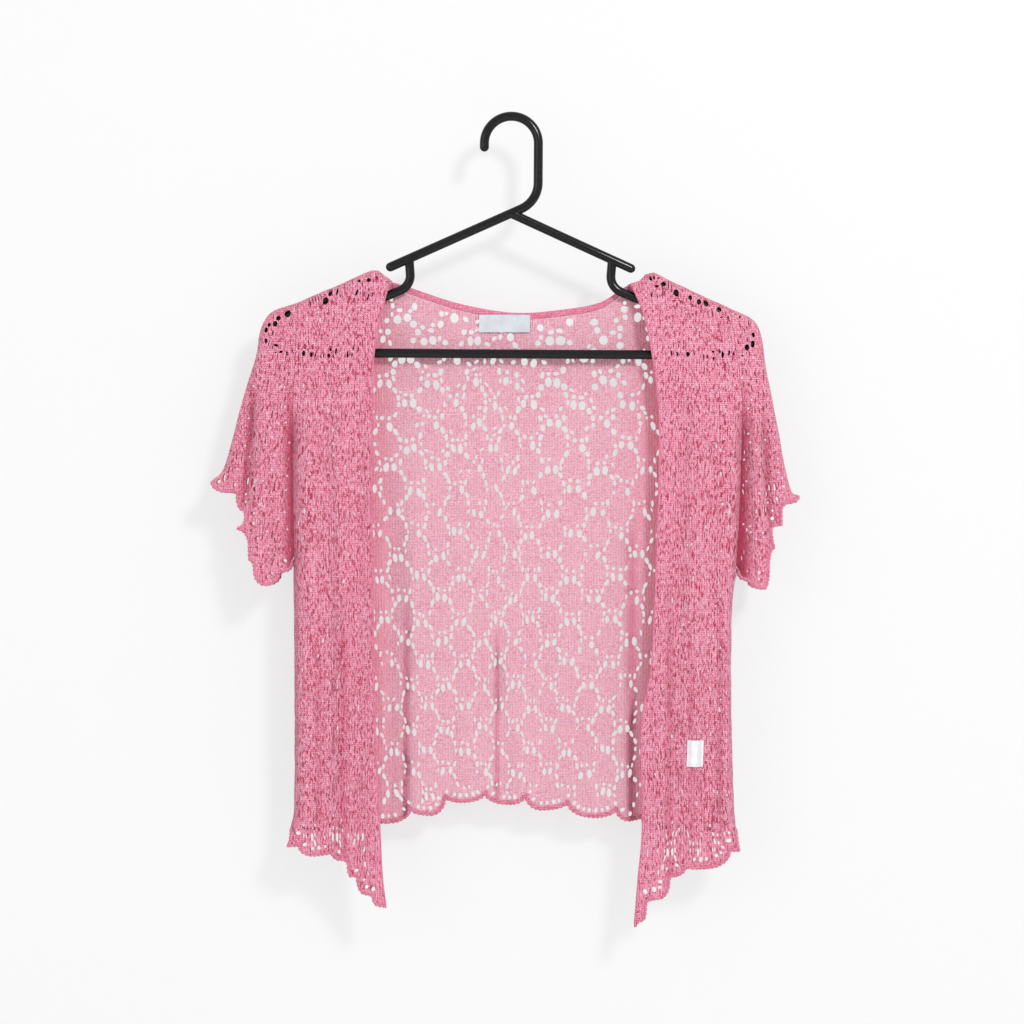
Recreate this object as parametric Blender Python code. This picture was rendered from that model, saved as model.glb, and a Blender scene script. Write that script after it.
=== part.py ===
"""Crochet cardigan with short sleeves, hung open on a tubular clothes hanger.

Metres, +Z up. The fronts face -Y. The origin is the underside of the hook's crown, where
the hanger is held, and the hanger lies in the plane y = 0 between the fronts and the back.
Left and right are the wearer's, so the right front lies at negative x.
"""

from collections import namedtuple
import math

import bmesh
import bpy
from mathutils import Vector
from mathutils.geometry import delaunay_2d_cdt

MM = 0.001
SEAM_GAP = 0.0003

# Hanger sizes
TUBE_RADIUS = 0.00395
BRANCH_RADIUS = 0.00390
TUBE_SIDES = 10
HOOK_INNER_RADIUS = 0.0191
HOOK_TIP_DROP = 0.0034
STEM_BEND_RADIUS = 0.0246
ARM_APEX_HEIGHT = -0.0790
ARM_SLOPE = math.radians(24.3)
INNER_ARM_REACH = 0.1027
OUTER_ARM_START = 0.1210
OUTER_ARM_DROP = 0.0030
HANGER_HALF_WIDTH = 0.2100
BAR_HEIGHT = -0.1990
HANGER_TILT = math.radians(0.35)
ARC_STEP = math.radians(15.0)
TIP_TURNS = (math.radians(35.0), math.radians(68.0))

# Strap notch loop: corners of its path for the side at positive x
LoopCorner = namedtuple("LoopCorner", "x z radius")
NOTCH_LOOP = (
    LoopCorner(86.7 * MM, -118.1 * MM, 0.0),
    LoopCorner(85.0 * MM, -141.5 * MM, 14.0 * MM),
    LoopCorner(112.0 * MM, -153.0 * MM, 20.0 * MM),
    LoopCorner(138.0 * MM, -144.3 * MM, 0.0),
)

# Cloth walls
CLOTH_WALL = 0.0012
HANGER_CLEARANCE = 0.0048
FRONT_DEPTH = 0.0110
BACK_DEPTH = 0.0090
DEPTH_RUN = 0.055
SHOULDER_ROUND = 0.0048
SIDE_ROUND = 0.0080
UNDERARM_CLEARANCE = 0.0020
UNDERARM_RISE = 0.0010

# Outlines in the front plane, in millimetres: x across, z up
Point = namedtuple("Point", "x z")

RIGHT_SHOULDER = (
    Point(-102.9, -137.3),
    Point(-110.0, -132.4),
    Point(-118.7, -128.9),
    Point(-143.0, -139.2),
    Point(-167.0, -149.6),
    Point(-182.0, -156.2),
)
RIGHT_OVERARM = (
    Point(-182.0, -156.2),
    Point(-202.0, -163.0),
    Point(-209.8, -170.6),
    Point(-214.2, -183.0),
    Point(-217.2, -201.0),
    Point(-229.6, -242.0),
    Point(-243.6, -294.0),
    Point(-255.2, -308.3),
)
LEFT_SHOULDER = (
    Point(101.6, -138.6),
    Point(109.7, -136.0),
    Point(118.3, -130.0),
    Point(140.5, -140.2),
    Point(163.5, -150.8),
    Point(186.0, -161.0),
)
LEFT_OVERARM = (
    Point(186.0, -161.0),
    Point(204.8, -170.4),
    Point(212.0, -183.2),
    Point(216.4, -212.0),
    Point(223.2, -246.0),
    Point(236.0, -311.3),
    Point(244.5, -321.0),
)
RIGHT_ARMHOLE = (
    Point(-182.0, -156.2),
    Point(-185.4, -240.0),
    Point(-186.6, -306.0),
    Point(-185.2, -375.3),
)
LEFT_ARMHOLE = (
    Point(186.0, -161.0),
    Point(196.0, -240.0),
    Point(195.0, -318.0),
    Point(191.6, -383.4),
)
RIGHT_SIDE = (
    Point(-185.2, -375.3),
    Point(-184.2, -480.0),
    Point(-184.4, -580.0),
    Point(-187.5, -603.0),
)
LEFT_SIDE = (
    Point(191.6, -383.4),
    Point(187.3, -414.0),
    Point(186.4, -494.0),
    Point(188.6, -580.0),
    Point(190.4, -603.0),
)
RIGHT_FRONT_EDGE = (
    Point(-102.9, -137.3),
    Point(-107.2, -148.6),
    Point(-116.6, -193.9),
    Point(-118.3, -238.3),
    Point(-118.7, -323.7),
    Point(-116.6, -494.5),
    Point(-112.3, -599.5),
    Point(-110.2, -642.2),
    Point(-107.0, -670.4),
)
LEFT_FRONT_EDGE = (
    Point(101.6, -138.6),
    Point(112.3, -164.0),
    Point(119.1, -195.1),
    Point(125.7, -251.9),
    Point(125.1, -323.7),
    Point(119.6, -457.7),
    Point(110.6, -516.7),
    Point(111.6, -600.0),
    Point(108.0, -644.8),
    Point(104.6, -686.6),
)
NECKLINE = (
    Point(-102.9, -137.3),
    Point(-90.4, -140.6),
    Point(-44.0, -155.4),
    Point(3.0, -163.1),
    Point(45.7, -160.1),
    Point(75.6, -154.4),
    Point(93.5, -143.5),
    Point(101.6, -138.6),
)

# Scalloped hems: each scallop runs from its cusp round its lowest point to the next cusp
Scallop = namedtuple("Scallop", "cusp_x cusp_z low_x low_z")

BACK_HEM = (
    Scallop(-187.5, -603.0, -170.0, -608.0),
    Scallop(-152.0, -599.0, -134.0, -607.0),
    Scallop(-119.0, -598.0, -104.9, -600.5),
    Scallop(-86.7, -587.6, -69.0, -593.5),
    Scallop(-56.8, -577.5, -43.0, -582.5),
    Scallop(-22.6, -574.5, -2.1, -584.5),
    Scallop(12.0, -576.2, 25.8, -589.0),
    Scallop(47.9, -581.9, 70.8, -595.5),
    Scallop(89.6, -588.0, 101.0, -598.5),
    Scallop(111.4, -595.2, 130.0, -606.0),
    Scallop(148.0, -599.0, 168.0, -608.0),
    Scallop(190.4, -603.0, 190.4, -603.0),
)
RIGHT_FRONT_HEM = (
    Scallop(-187.5, -603.0, -190.8, -617.4),
    Scallop(-180.5, -617.5, -168.0, -625.5),
    Scallop(-153.0, -623.0, -145.0, -629.0),
    Scallop(-139.0, -633.0, -136.5, -643.5),
    Scallop(-131.5, -644.5, -124.5, -658.5),
    Scallop(-117.5, -661.5, -111.0, -668.5),
    Scallop(-107.0, -670.4, -107.0, -670.4),
)
LEFT_FRONT_HEM = (
    Scallop(190.4, -603.0, 193.0, -620.8),
    Scallop(185.0, -620.0, 165.0, -635.8),
    Scallop(147.5, -633.5, 136.0, -643.0),
    Scallop(133.0, -649.0, 125.5, -661.0),
    Scallop(113.2, -666.5, 110.6, -680.2),
    Scallop(104.6, -686.6, 104.6, -686.6),
)
RIGHT_SLEEVE_HEM = (
    Scallop(-255.2, -308.3, -244.0, -316.0),
    Scallop(-233.6, -318.0, -229.5, -331.5),
    Scallop(-226.0, -338.5, -233.0, -348.0),
    Scallop(-222.5, -362.5, -222.0, -374.5),
    Scallop(-217.8, -384.5, -208.5, -395.5),
    Scallop(-198.5, -387.0, -193.5, -384.0),
    Scallop(-187.2, -374.3, -187.2, -374.3),
)
LEFT_SLEEVE_HEM = (
    Scallop(244.5, -321.0, 237.0, -325.5),
    Scallop(229.3, -333.1, 229.5, -344.5),
    Scallop(221.0, -347.6, 223.5, -364.0),
    Scallop(218.0, -379.5, 214.5, -398.5),
    Scallop(204.0, -395.0, 198.5, -391.0),
    Scallop(193.6, -382.4, 193.6, -382.4),
)

# Folds of the cloth: soft ridges (positive height) and troughs, from top to bottom
Fold = namedtuple("Fold", "top_x top_z bottom_x bottom_z half_width height")

FRONT_FOLDS = (
    Fold(-170.0, -215.0, -172.0, -615.0, 8.0, 3.4),
    Fold(-157.0, -240.0, -158.0, -620.0, 5.5, -3.0),
    Fold(-144.0, -190.0, -146.0, -625.0, 7.0, 3.2),
    Fold(-131.0, -260.0, -130.0, -640.0, 5.0, -2.6),
    Fold(-121.0, -190.0, -116.0, -665.0, 4.5, 3.0),
    Fold(-186.6, -238.0, -186.0, -378.0, 6.5, -4.4),
    Fold(-222.0, -210.0, -231.0, -318.0, 5.5, -3.6),
    Fold(-211.0, -215.0, -213.0, -392.0, 6.5, 3.6),
    Fold(-200.0, -230.0, -199.0, -388.0, 5.0, -2.6),
    Fold(135.0, -205.0, 122.0, -660.0, 6.0, 3.2),
    Fold(146.0, -230.0, 137.0, -640.0, 5.5, -3.0),
    Fold(158.0, -195.0, 152.0, -630.0, 7.5, 3.4),
    Fold(172.0, -240.0, 167.0, -628.0, 5.5, -2.8),
    Fold(183.0, -420.0, 181.0, -615.0, 5.0, 2.6),
    Fold(197.0, -238.0, 193.5, -385.0, 6.5, -4.4),
    Fold(208.0, -222.0, 212.0, -396.0, 6.0, 3.6),
    Fold(217.0, -235.0, 223.0, -345.0, 5.0, -3.2),
)
BACK_FOLDS = (
    Fold(-98.0, -330.0, -99.0, -598.0, 7.0, 3.2),
    Fold(-84.0, -300.0, -82.0, -588.0, 8.0, -2.2),
    Fold(-16.0, -420.0, -3.0, -584.0, 5.0, 3.6),
    Fold(40.0, -380.0, 50.0, -582.0, 9.0, -2.2),
    Fold(101.0, -330.0, 108.0, -596.0, 6.0, 3.6),
    Fold(-150.0, -230.0, -154.0, -600.0, 11.0, 3.0),
    Fold(150.0, -240.0, 149.0, -600.0, 11.0, 3.0),
    Fold(-187.0, -240.0, -186.0, -378.0, 7.0, -3.6),
    Fold(197.0, -240.0, 194.0, -385.0, 7.0, -3.6),
    Fold(-214.0, -215.0, -222.0, -370.0, 7.0, 3.2),
    Fold(212.0, -225.0, 218.0, -375.0, 7.0, 3.2),
)
FOLD_FADE = 0.035

# Lace columns of the back, in millimetres: x at the upper and at the lower level
Column = namedtuple("Column", "upper_x lower_x")

BACK_COLUMNS = (
    Column(-107.3, -88.0),
    Column(-87.5, -73.0),
    Column(-67.5, -57.4),
    Column(-48.5, -40.5),
    Column(-31.0, -25.0),
    Column(-16.5, -11.0),
    Column(-2.0, 3.0),
    Column(15.0, 17.3),
    Column(35.5, 32.0),
    Column(56.5, 47.8),
    Column(79.0, 64.6),
    Column(99.5, 82.1),
)
COLUMN_UPPER_LEVEL = -0.2580
COLUMN_LOWER_LEVEL = -0.4800
COLUMN_SPREAD = (-0.35, 1.10)

# Lace openings: half-drop repeat of paired holes at the head of each leaf
LACE_COLUMN_WIDTH = 0.01875
LACE_PERIOD_Z = 0.0372
PAIR_HALF_SPACING = 0.0037
HOLE_HALF_WIDTH = 0.0026
HOLE_HALF_HEIGHT = 0.0042
HOLE_CORNERS = 5
LACE_TOP = -0.1855
LACE_BOTTOM = -0.5800
HOLE_MARGIN = 0.0040
HEM_HOLE_INSET = 0.0085
HEM_HOLE_RADIUS = 0.0024

# Binding and labels
BINDING_WIDTH = 0.0060
BINDING_WALL = 0.0020
BINDING_PROUD = 0.0004
LABEL_WALL = 0.0008
NECK_LABEL_SIZE = (0.0436, 0.0150)
NECK_LABEL_CENTRE = (-0.0060, -0.1725)
CARE_LABEL_SIZE = (0.0140, 0.0225)
CARE_LABEL_CENTRE = (0.1559, -0.5390)
CARE_LABEL_TURN = math.radians(-2.5)
CARE_LABEL_GRID = 0.0045
CARE_LABEL_GAP = 0.0007

EDGE_STEP = 0.016
ARMHOLE_STEP = 0.024
SIDE_STEP = 0.030
GRID_STEP_X = 0.0090
GRID_STEP_Z = 0.034
SLEEVE_GRID_STEP_Z = 0.026
BACK_GRID_STEP_X = 0.017
GRID_MARGIN = 0.0075
ROW_MARGIN = 0.0006
ROUND_TURNS = (math.radians(32.0), math.radians(60.0), math.radians(90.0))
ROW_PARTS = (0.25, 0.75)
SAME_POINT = 1e-4
HOLE_CLEARANCE = 0.0028


def clear_scene():
    for item in list(bpy.data.objects):
        bpy.data.objects.remove(item, do_unlink=True)


def make_material(name, colour, roughness):
    material = bpy.data.materials.new(name)
    material.use_nodes = True
    shader = material.node_tree.nodes["Principled BSDF"]
    shader.inputs["Base Color"].default_value = (*colour, 1.0)
    shader.inputs["Roughness"].default_value = roughness
    shader.inputs["Metallic"].default_value = 0.0
    return material


def add_object(name, bm, material, smooth_angle=math.radians(40.0)):
    bmesh.ops.recalc_face_normals(bm, faces=bm.faces)
    mesh = bpy.data.meshes.new(name)
    bm.to_mesh(mesh)
    bm.free()
    mesh.shade_smooth()
    mesh.set_sharp_from_angle(angle=smooth_angle)
    mesh.materials.append(material)
    item = bpy.data.objects.new(name, mesh)
    bpy.context.scene.collection.objects.link(item)
    return item


# Hanger


def rounded_path(corners):
    """Straight runs joined by arcs. A corner is (x, z, radius); the ends have no arc."""
    points = [Vector(corners[0][:2])]
    for before, corner, after in zip(corners, corners[1:], corners[2:]):
        here = Vector(corner[:2])
        into = (here - Vector(before[:2])).normalized()
        out = (Vector(after[:2]) - here).normalized()
        turn = into.angle(out)
        inward = (out - into * out.dot(into)).normalized()
        start = here - into * corner[2] * math.tan(turn / 2.0)
        centre = start + inward * corner[2]
        steps = max(2, math.ceil(turn / ARC_STEP))
        for step in range(steps + 1):
            angle = turn * step / steps
            points.append(centre + (into * math.sin(angle) - inward * math.cos(angle)) * corner[2])
    points.append(Vector(corners[-1][:2]))
    return points


def tilted(points):
    cosine = math.cos(HANGER_TILT)
    sine = math.sin(HANGER_TILT)
    return [Vector((p.x * cosine + p.y * sine, p.y * cosine - p.x * sine)) for p in points]


def tube(name, path, radius, material):
    """A round tube along a path in the plane y = 0, with rounded tips."""
    path = tilted(path)
    stations = []
    for index, point in enumerate(path):
        before = path[max(index - 1, 0)]
        after = path[min(index + 1, len(path) - 1)]
        stations.append((point, (after - before).normalized(), radius))
    first, last = stations[0], stations[-1]
    for angle in TIP_TURNS:
        reach = radius * math.sin(angle)
        stations.insert(0, (first[0] - first[1] * reach, first[1], radius * math.cos(angle)))
        stations.append((last[0] + last[1] * reach, last[1], radius * math.cos(angle)))
    bm = bmesh.new()
    rings = []
    for centre, along, ring_radius in stations:
        across = Vector((-along.y, along.x))
        ring = []
        for side in range(TUBE_SIDES):
            angle = 2.0 * math.pi * side / TUBE_SIDES
            flat = centre + across * ring_radius * math.sin(angle)
            ring.append(bm.verts.new((flat.x, ring_radius * math.cos(angle), flat.y)))
        rings.append(ring)
    for ring, following in zip(rings, rings[1:]):
        for side in range(TUBE_SIDES):
            after = (side + 1) % TUBE_SIDES
            bm.faces.new((ring[side], ring[after], following[after], following[side]))
    for ring, station, sign in ((rings[0], first, -1.0), (rings[-1], last, 1.0)):
        end = station[0] + station[1] * radius * sign
        apex = bm.verts.new((end.x, 0.0, end.y))
        for side in range(TUBE_SIDES):
            bm.faces.new((ring[side], ring[(side + 1) % TUBE_SIDES], apex))
    return add_object(name, bm, material)


def arm_point(x, drop=0.0):
    return (x, ARM_APEX_HEIGHT - drop - abs(x) * math.tan(ARM_SLOPE), 0.0)


def build_hanger(material):
    hook_radius = HOOK_INNER_RADIUS + TUBE_RADIUS
    hook = [Vector((-hook_radius, -HOOK_INNER_RADIUS - HOOK_TIP_DROP))]
    steps = round(math.pi / ARC_STEP)
    for step in range(steps + 1):
        angle = math.pi - math.pi * step / steps
        hook.append(
            Vector((hook_radius * math.cos(angle), hook_radius * math.sin(angle) - HOOK_INNER_RADIUS))
        )
    stem_corner = (
        hook_radius,
        ARM_APEX_HEIGHT + hook_radius * math.tan(ARM_SLOPE),
        STEM_BEND_RADIUS,
    )
    crown_end = (hook_radius, -HOOK_INNER_RADIUS, 0.0)
    rod = hook[:-1] + rounded_path((crown_end, stem_corner, arm_point(-INNER_ARM_REACH)))
    right_arm = rounded_path((arm_point(0.0), arm_point(INNER_ARM_REACH / 2.0), arm_point(INNER_ARM_REACH)))

    corner_x = (ARM_APEX_HEIGHT - OUTER_ARM_DROP - BAR_HEIGHT) / math.tan(ARM_SLOPE)
    end_turn = math.pi - ARM_SLOPE
    end_radius = (corner_x - HANGER_HALF_WIDTH + TUBE_RADIUS) / (math.tan(end_turn / 2.0) - 1.0)
    frame = rounded_path(
        (
            arm_point(OUTER_ARM_START, OUTER_ARM_DROP),
            (corner_x, BAR_HEIGHT, end_radius),
            (-corner_x, BAR_HEIGHT, end_radius),
            arm_point(-OUTER_ARM_START, OUTER_ARM_DROP),
        )
    )
    hanger = tube("hanger", rod, TUBE_RADIUS, material)
    branches = [tube("hanger_right_arm", right_arm, BRANCH_RADIUS, material)]
    branches.append(tube("hanger_frame", frame, TUBE_RADIUS, material))
    for side in (-1.0, 1.0):
        loop = rounded_path([(side * c.x, c.z, c.radius) for c in NOTCH_LOOP])
        branches.append(tube(f"hanger_loop_{'left' if side > 0 else 'right'}", loop, BRANCH_RADIUS, material))
    for branch in branches:
        union = hanger.modifiers.new(branch.name, "BOOLEAN")
        union.operation = "UNION"
        union.object = branch
        branch.hide_render = True
        branch.display_type = "WIRE"
    return hanger


# Lines in the front plane


def metres(points):
    return [Vector((p[0] * MM, p[1] * MM)) for p in points]


def smooth_line(points, step=EDGE_STEP):
    """A smooth curve through the points, with a point at least every step."""
    line = [points[0]]
    for index in range(len(points) - 1):
        start, end = points[index], points[index + 1]
        before = points[index - 1] if index else start * 2.0 - end
        after = points[index + 2] if index + 2 < len(points) else end * 2.0 - start
        count = max(1, math.ceil((end - start).length / step))
        for piece in range(1, count + 1):
            t = piece / count
            line.append(
                (
                    start * 2.0
                    + (end - before) * t
                    + (before * 2.0 - start * 5.0 + end * 4.0 - after) * t * t
                    + (start * 3.0 - before - end * 3.0 + after) * t * t * t
                )
                * 0.5
            )
    return line


def scallop_line(rows, steps=2):
    """Rounded scallops from cusp to cusp, each through its lowest point."""
    line = [Vector((rows[0].cusp_x, rows[0].cusp_z)) * MM]
    for row, following in zip(rows, rows[1:]):
        cusp = Vector((row.cusp_x, row.cusp_z)) * MM
        low = Vector((row.low_x, row.low_z)) * MM
        end = Vector((following.cusp_x, following.cusp_z)) * MM
        for side_cusp, order in ((cusp, range(1, steps + 1)), (end, range(steps - 1, -1, -1))):
            for step in order:
                angle = math.pi / 2.0 * step / steps
                along = 1.0 - math.cos(angle)
                down = math.sin(angle)
                line.append(
                    Vector(
                        (
                            side_cusp.x + (low.x - side_cusp.x) * along,
                            side_cusp.y + (low.y - side_cusp.y) * down,
                        )
                    )
                )
    return line


def nearest_on(line, point):
    """Distance from a line to the point, and the unit direction from the cloth to the line."""
    best = None
    for start, end in zip(line, line[1:]):
        span = end - start
        part = max(0.0, min(1.0, (point - start).dot(span) / span.length_squared))
        foot = start + span * part
        distance = (foot - point).length
        if best is None or distance < best[0] - 1e-9:
            best = (distance, foot, span.normalized())
    distance, foot, along = best
    if distance < 2e-5:
        outward = Vector((along.y, -along.x))
        return 0.0, outward if outward.x * foot.x > 0.0 or outward.y > 0.5 else -outward
    return distance, (foot - point) / distance


def round_off(distance, radius):
    return math.sqrt(max(0.0, 1.0 - (1.0 - min(distance / radius, 1.0)) ** 2))


def ease(value):
    value = max(0.0, min(1.0, value))
    return value * value * (3.0 - 2.0 * value)


SHOULDER_LINES = {
    -1: smooth_line(metres(RIGHT_SHOULDER)) + smooth_line(metres(RIGHT_OVERARM))[1:],
    1: smooth_line(metres(LEFT_SHOULDER)) + smooth_line(metres(LEFT_OVERARM))[1:],
}
SIDE_LINES = {
    -1: smooth_line(metres(RIGHT_SIDE), SIDE_STEP),
    1: smooth_line(metres(LEFT_SIDE), SIDE_STEP),
}


def fold_height(folds, point):
    total = 0.0
    for fold in folds:
        top = Vector((fold.top_x, fold.top_z)) * MM
        bottom = Vector((fold.bottom_x, fold.bottom_z)) * MM
        span = bottom - top
        along = (point - top).dot(span) / span.length
        across = abs((point - top).x * span.y - (point - top).y * span.x) / span.length
        inside = min(along, span.length - along + FOLD_FADE)
        if inside > 0.0:
            width = fold.half_width * MM
            total += fold.height * MM * math.exp(-((across / width) ** 2)) * ease(inside / FOLD_FADE)
    return total


def cloth_skin(layer, point, seam_outward=True):
    """Inner point and outward unit normal. layer is -1 in the fronts and 1 in the back."""
    side = -1 if point.x < 0.0 else 1
    to_shoulder, shoulder_way = nearest_on(SHOULDER_LINES[side], point)
    to_side, side_way = nearest_on(SIDE_LINES[side], point)
    depth = FRONT_DEPTH if layer < 0 else BACK_DEPTH
    folds = FRONT_FOLDS if layer < 0 else BACK_FOLDS
    away = HANGER_CLEARANCE + (depth - HANGER_CLEARANCE) * ease(to_shoulder / DEPTH_RUN)
    away += fold_height(folds, point)
    bulge = round_off(to_shoulder, SHOULDER_ROUND) * round_off(to_side, SIDE_ROUND)
    flat = shoulder_way * (1.0 - min(to_shoulder / SHOULDER_ROUND, 1.0))
    if seam_outward:
        flat = flat + side_way * (1.0 - min(to_side / SIDE_ROUND, 1.0))
    inner = Vector((point.x, layer * (SEAM_GAP / 2.0 + away * bulge), point.y))
    normal = Vector((flat.x, layer * max(bulge, 1e-3), flat.y)).normalized()
    return inner, normal


# Cloth walls


def inside(polygon, point):
    hit = False
    for start, end in zip(polygon, polygon[1:] + polygon[:1]):
        if (start.y > point.y) != (end.y > point.y):
            cross = start.x + (point.y - start.y) * (end.x - start.x) / (end.y - start.y)
            if point.x < cross:
                hit = not hit
    return hit


def edge_distance(polygon, point):
    return nearest_on(polygon + polygon[:1], point)[0]


def tidy(line):
    """Drop points that repeat their neighbour, so that the outline closes cleanly."""
    kept = [line[0]]
    for point in line[1:]:
        if (point - kept[-1]).length > SAME_POINT:
            kept.append(point)
    if (kept[0] - kept[-1]).length < SAME_POINT:
        kept.pop()
    return kept


def turned_left(polygon):
    """The polygon with its corners anticlockwise."""
    pairs = zip(polygon, polygon[1:] + polygon[:1])
    area = sum(start.x * end.y - end.x * start.y for start, end in pairs)
    return polygon if area > 0.0 else list(reversed(polygon))


def round_rows(line, radius):
    """Points beside a rounded silhouette, at even turns of its curve."""
    rows = []
    for before, after in zip(line, line[1:]):
        along = (after - before).normalized()
        inward = Vector((along.y, -along.x))
        if inward.x * before.x > 0.0 or inward.y > 0.5:
            inward = -inward
        for part in ROW_PARTS:
            foot = before.lerp(after, part)
            for turn in ROUND_TURNS:
                rows.append(foot + inward * radius * (1.0 - math.cos(turn)))
    return rows


def grid_points(outline, step_x, step_z):
    low_x = min(p.x for p in outline)
    high_x = max(p.x for p in outline)
    low_z = min(p.y for p in outline)
    high_z = max(p.y for p in outline)
    points = []
    for row in range(1, int((high_z - low_z) / step_z) + 1):
        shift = step_x / 2.0 * (row % 2)
        for column in range(int((high_x - low_x) / step_x) + 2):
            points.append(Vector((low_x + shift + column * step_x, high_z - row * step_z)))
    return points


def polygon_hole(centre, half_width, half_height):
    hole = []
    for corner in range(HOLE_CORNERS):
        angle = 2.0 * math.pi * corner / HOLE_CORNERS + math.pi / 2.0
        hole.append(centre + Vector((half_width * math.cos(angle), half_height * math.sin(angle))))
    return hole


def free_points(points, outline, holes, margin):
    """The points that lie inside the outline, clear of its edge and of every hole."""
    return [
        point
        for point in points
        if inside(outline, point)
        and edge_distance(outline, point) > margin
        and not any(inside(hole, point) or edge_distance(hole, point) < HOLE_CLEARANCE for hole in holes)
    ]


def wall(name, outline, holes, rows, grid, skin, material, lift=0.0, thickness=CLOTH_WALL):
    """A closed wall whose inner face lies lift out from the skin.

    rows are points of the rounded edges, which may lie close to the outline.
    """
    outline = turned_left(tidy(outline))
    points = list(outline)
    loops = [list(range(len(outline)))]
    for hole in holes:
        loops.append(list(range(len(points), len(points) + len(hole))))
        points.extend(hole)
    points.extend(free_points(rows, outline, holes, ROW_MARGIN))
    points.extend(free_points(grid, outline, holes, GRID_MARGIN))
    flat, _, triangles, _, _, sources = delaunay_2d_cdt(points, [], loops, 1, 1e-7, True)
    kept = [tri for tri, source in zip(triangles, sources) if list(source) == [0]]
    bm = bmesh.new()
    faces = {}
    for index in sorted({corner for tri in kept for corner in tri}):
        base, normal = skin(flat[index])
        faces[index] = (
            bm.verts.new(base + normal * lift),
            bm.verts.new(base + normal * (lift + thickness)),
        )
    borders = {}
    for tri in kept:
        bm.faces.new([faces[corner][1] for corner in tri])
        bm.faces.new([faces[corner][0] for corner in reversed(tri)])
        for start, end in zip(tri, list(tri[1:]) + [tri[0]]):
            if (end, start) in borders:
                del borders[(end, start)]
            else:
                borders[(start, end)] = True
    for start, end in borders:
        bm.faces.new((faces[start][0], faces[end][0], faces[end][1], faces[start][1]))
    return add_object(name, bm, material)


def column_x(column, z):
    """Where a lace column lies at the height z. The columns draw together downwards."""
    part = (z - COLUMN_UPPER_LEVEL) / (COLUMN_LOWER_LEVEL - COLUMN_UPPER_LEVEL)
    part = max(COLUMN_SPREAD[0], min(COLUMN_SPREAD[1], part))
    return (column.upper_x + (column.lower_x - column.upper_x) * part) * MM


def back_holes(outline):
    """A pair of holes at the head of each leaf, narrower where the columns lie closer."""
    holes = []
    rows = int((LACE_TOP - LACE_BOTTOM) / LACE_PERIOD_Z) + 1
    last = len(BACK_COLUMNS) - 1
    for index, column in enumerate(BACK_COLUMNS):
        before = BACK_COLUMNS[max(index - 1, 0)]
        after = BACK_COLUMNS[min(index + 1, last)]
        steps = min(index + 1, last) - max(index - 1, 0)
        drop = LACE_PERIOD_Z / 2.0 * (index % 2)
        for row in range(rows):
            z = LACE_TOP - drop - row * LACE_PERIOD_Z
            narrow = (column_x(after, z) - column_x(before, z)) / steps / LACE_COLUMN_WIDTH
            for way in (-1.0, 1.0):
                centre = Vector((column_x(column, z) + way * PAIR_HALF_SPACING * narrow, z))
                hole = polygon_hole(centre, HOLE_HALF_WIDTH * narrow, HOLE_HALF_HEIGHT)
                if all(inside(outline, p) and edge_distance(outline, p) > HOLE_MARGIN for p in hole):
                    holes.append(hole)
    return holes


def hem_holes(rows, outline):
    """One hole inside each scallop, set in from its lowest point."""
    holes = []
    for row, following in zip(rows, rows[1:]):
        low = Vector((row.low_x, row.low_z)) * MM
        chord = Vector((row.cusp_x + following.cusp_x, row.cusp_z + following.cusp_z)) * MM / 2.0
        inward = (chord - low).normalized()
        hole = polygon_hole(low + inward * HEM_HOLE_INSET, HEM_HOLE_RADIUS, HEM_HOLE_RADIUS)
        if all(inside(outline, p) and edge_distance(outline, p) > HOLE_MARGIN / 2.0 for p in hole):
            holes.append(hole)
    return holes


def body_armhole(rows):
    """The armhole from the shoulder down, with points where the shoulder rounds over."""
    line = smooth_line(metres(rows), ARMHOLE_STEP)
    down = (line[1] - line[0]).normalized()
    rounded = [
        line[0] + down * SHOULDER_ROUND * (1.0 - math.cos(turn)) / math.cos(ARM_SLOPE)
        for turn in ROUND_TURNS
    ]
    return line[:1] + rounded + line[1:]


def sleeve_armhole(rows, side):
    """The armhole's sleeve side, a seam's gap out, and clear of the body at the underarm."""
    line = [p + Vector((side * SEAM_GAP, 0.0)) for p in body_armhole(rows)]
    line[-1] = line[-1] + Vector((side * UNDERARM_CLEARANCE, UNDERARM_RISE))
    return line


def build_front(name, shoulder, edge, hem, side_line, armhole, material, seats=()):
    """seats are points where a label lies on the cloth, so that both follow one surface."""
    scallops = scallop_line(hem)
    outline = tidy(
        list(reversed(smooth_line(metres(shoulder))))
        + smooth_line(metres(edge))
        + list(reversed(scallops))
        + list(reversed(side_line))
        + list(reversed(body_armhole(armhole)))
    )
    rows = round_rows(smooth_line(metres(shoulder)), SHOULDER_ROUND)
    rows += round_rows(side_line, SIDE_ROUND)
    rows += list(seats)
    grid = [
        point
        for point in grid_points(outline, GRID_STEP_X, GRID_STEP_Z)
        if all((point - seat).length > CARE_LABEL_GRID / 2.0 for seat in seats)
    ]
    holes = hem_holes(hem, outline)
    return wall(name, outline, holes, rows, grid, lambda p: cloth_skin(-1, p), material)


def build_sleeve_half(name, layer, side, overarm, hem, armhole, material):
    line = smooth_line(metres(overarm))
    line[0] = line[0] + (line[1] - line[0]).normalized() * SEAM_GAP
    outline = tidy(line + scallop_line(hem) + list(reversed(sleeve_armhole(armhole, side)[1:])))
    rows = round_rows(line, SHOULDER_ROUND)
    grid = grid_points(outline, GRID_STEP_X, SLEEVE_GRID_STEP_Z)
    holes = hem_holes(hem, outline)
    return wall(
        name, outline, holes, rows, grid, lambda p: cloth_skin(layer, p, seam_outward=False), material
    )


def lowered(line, drop):
    return [p - Vector((0.0, drop)) for p in line]


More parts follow.
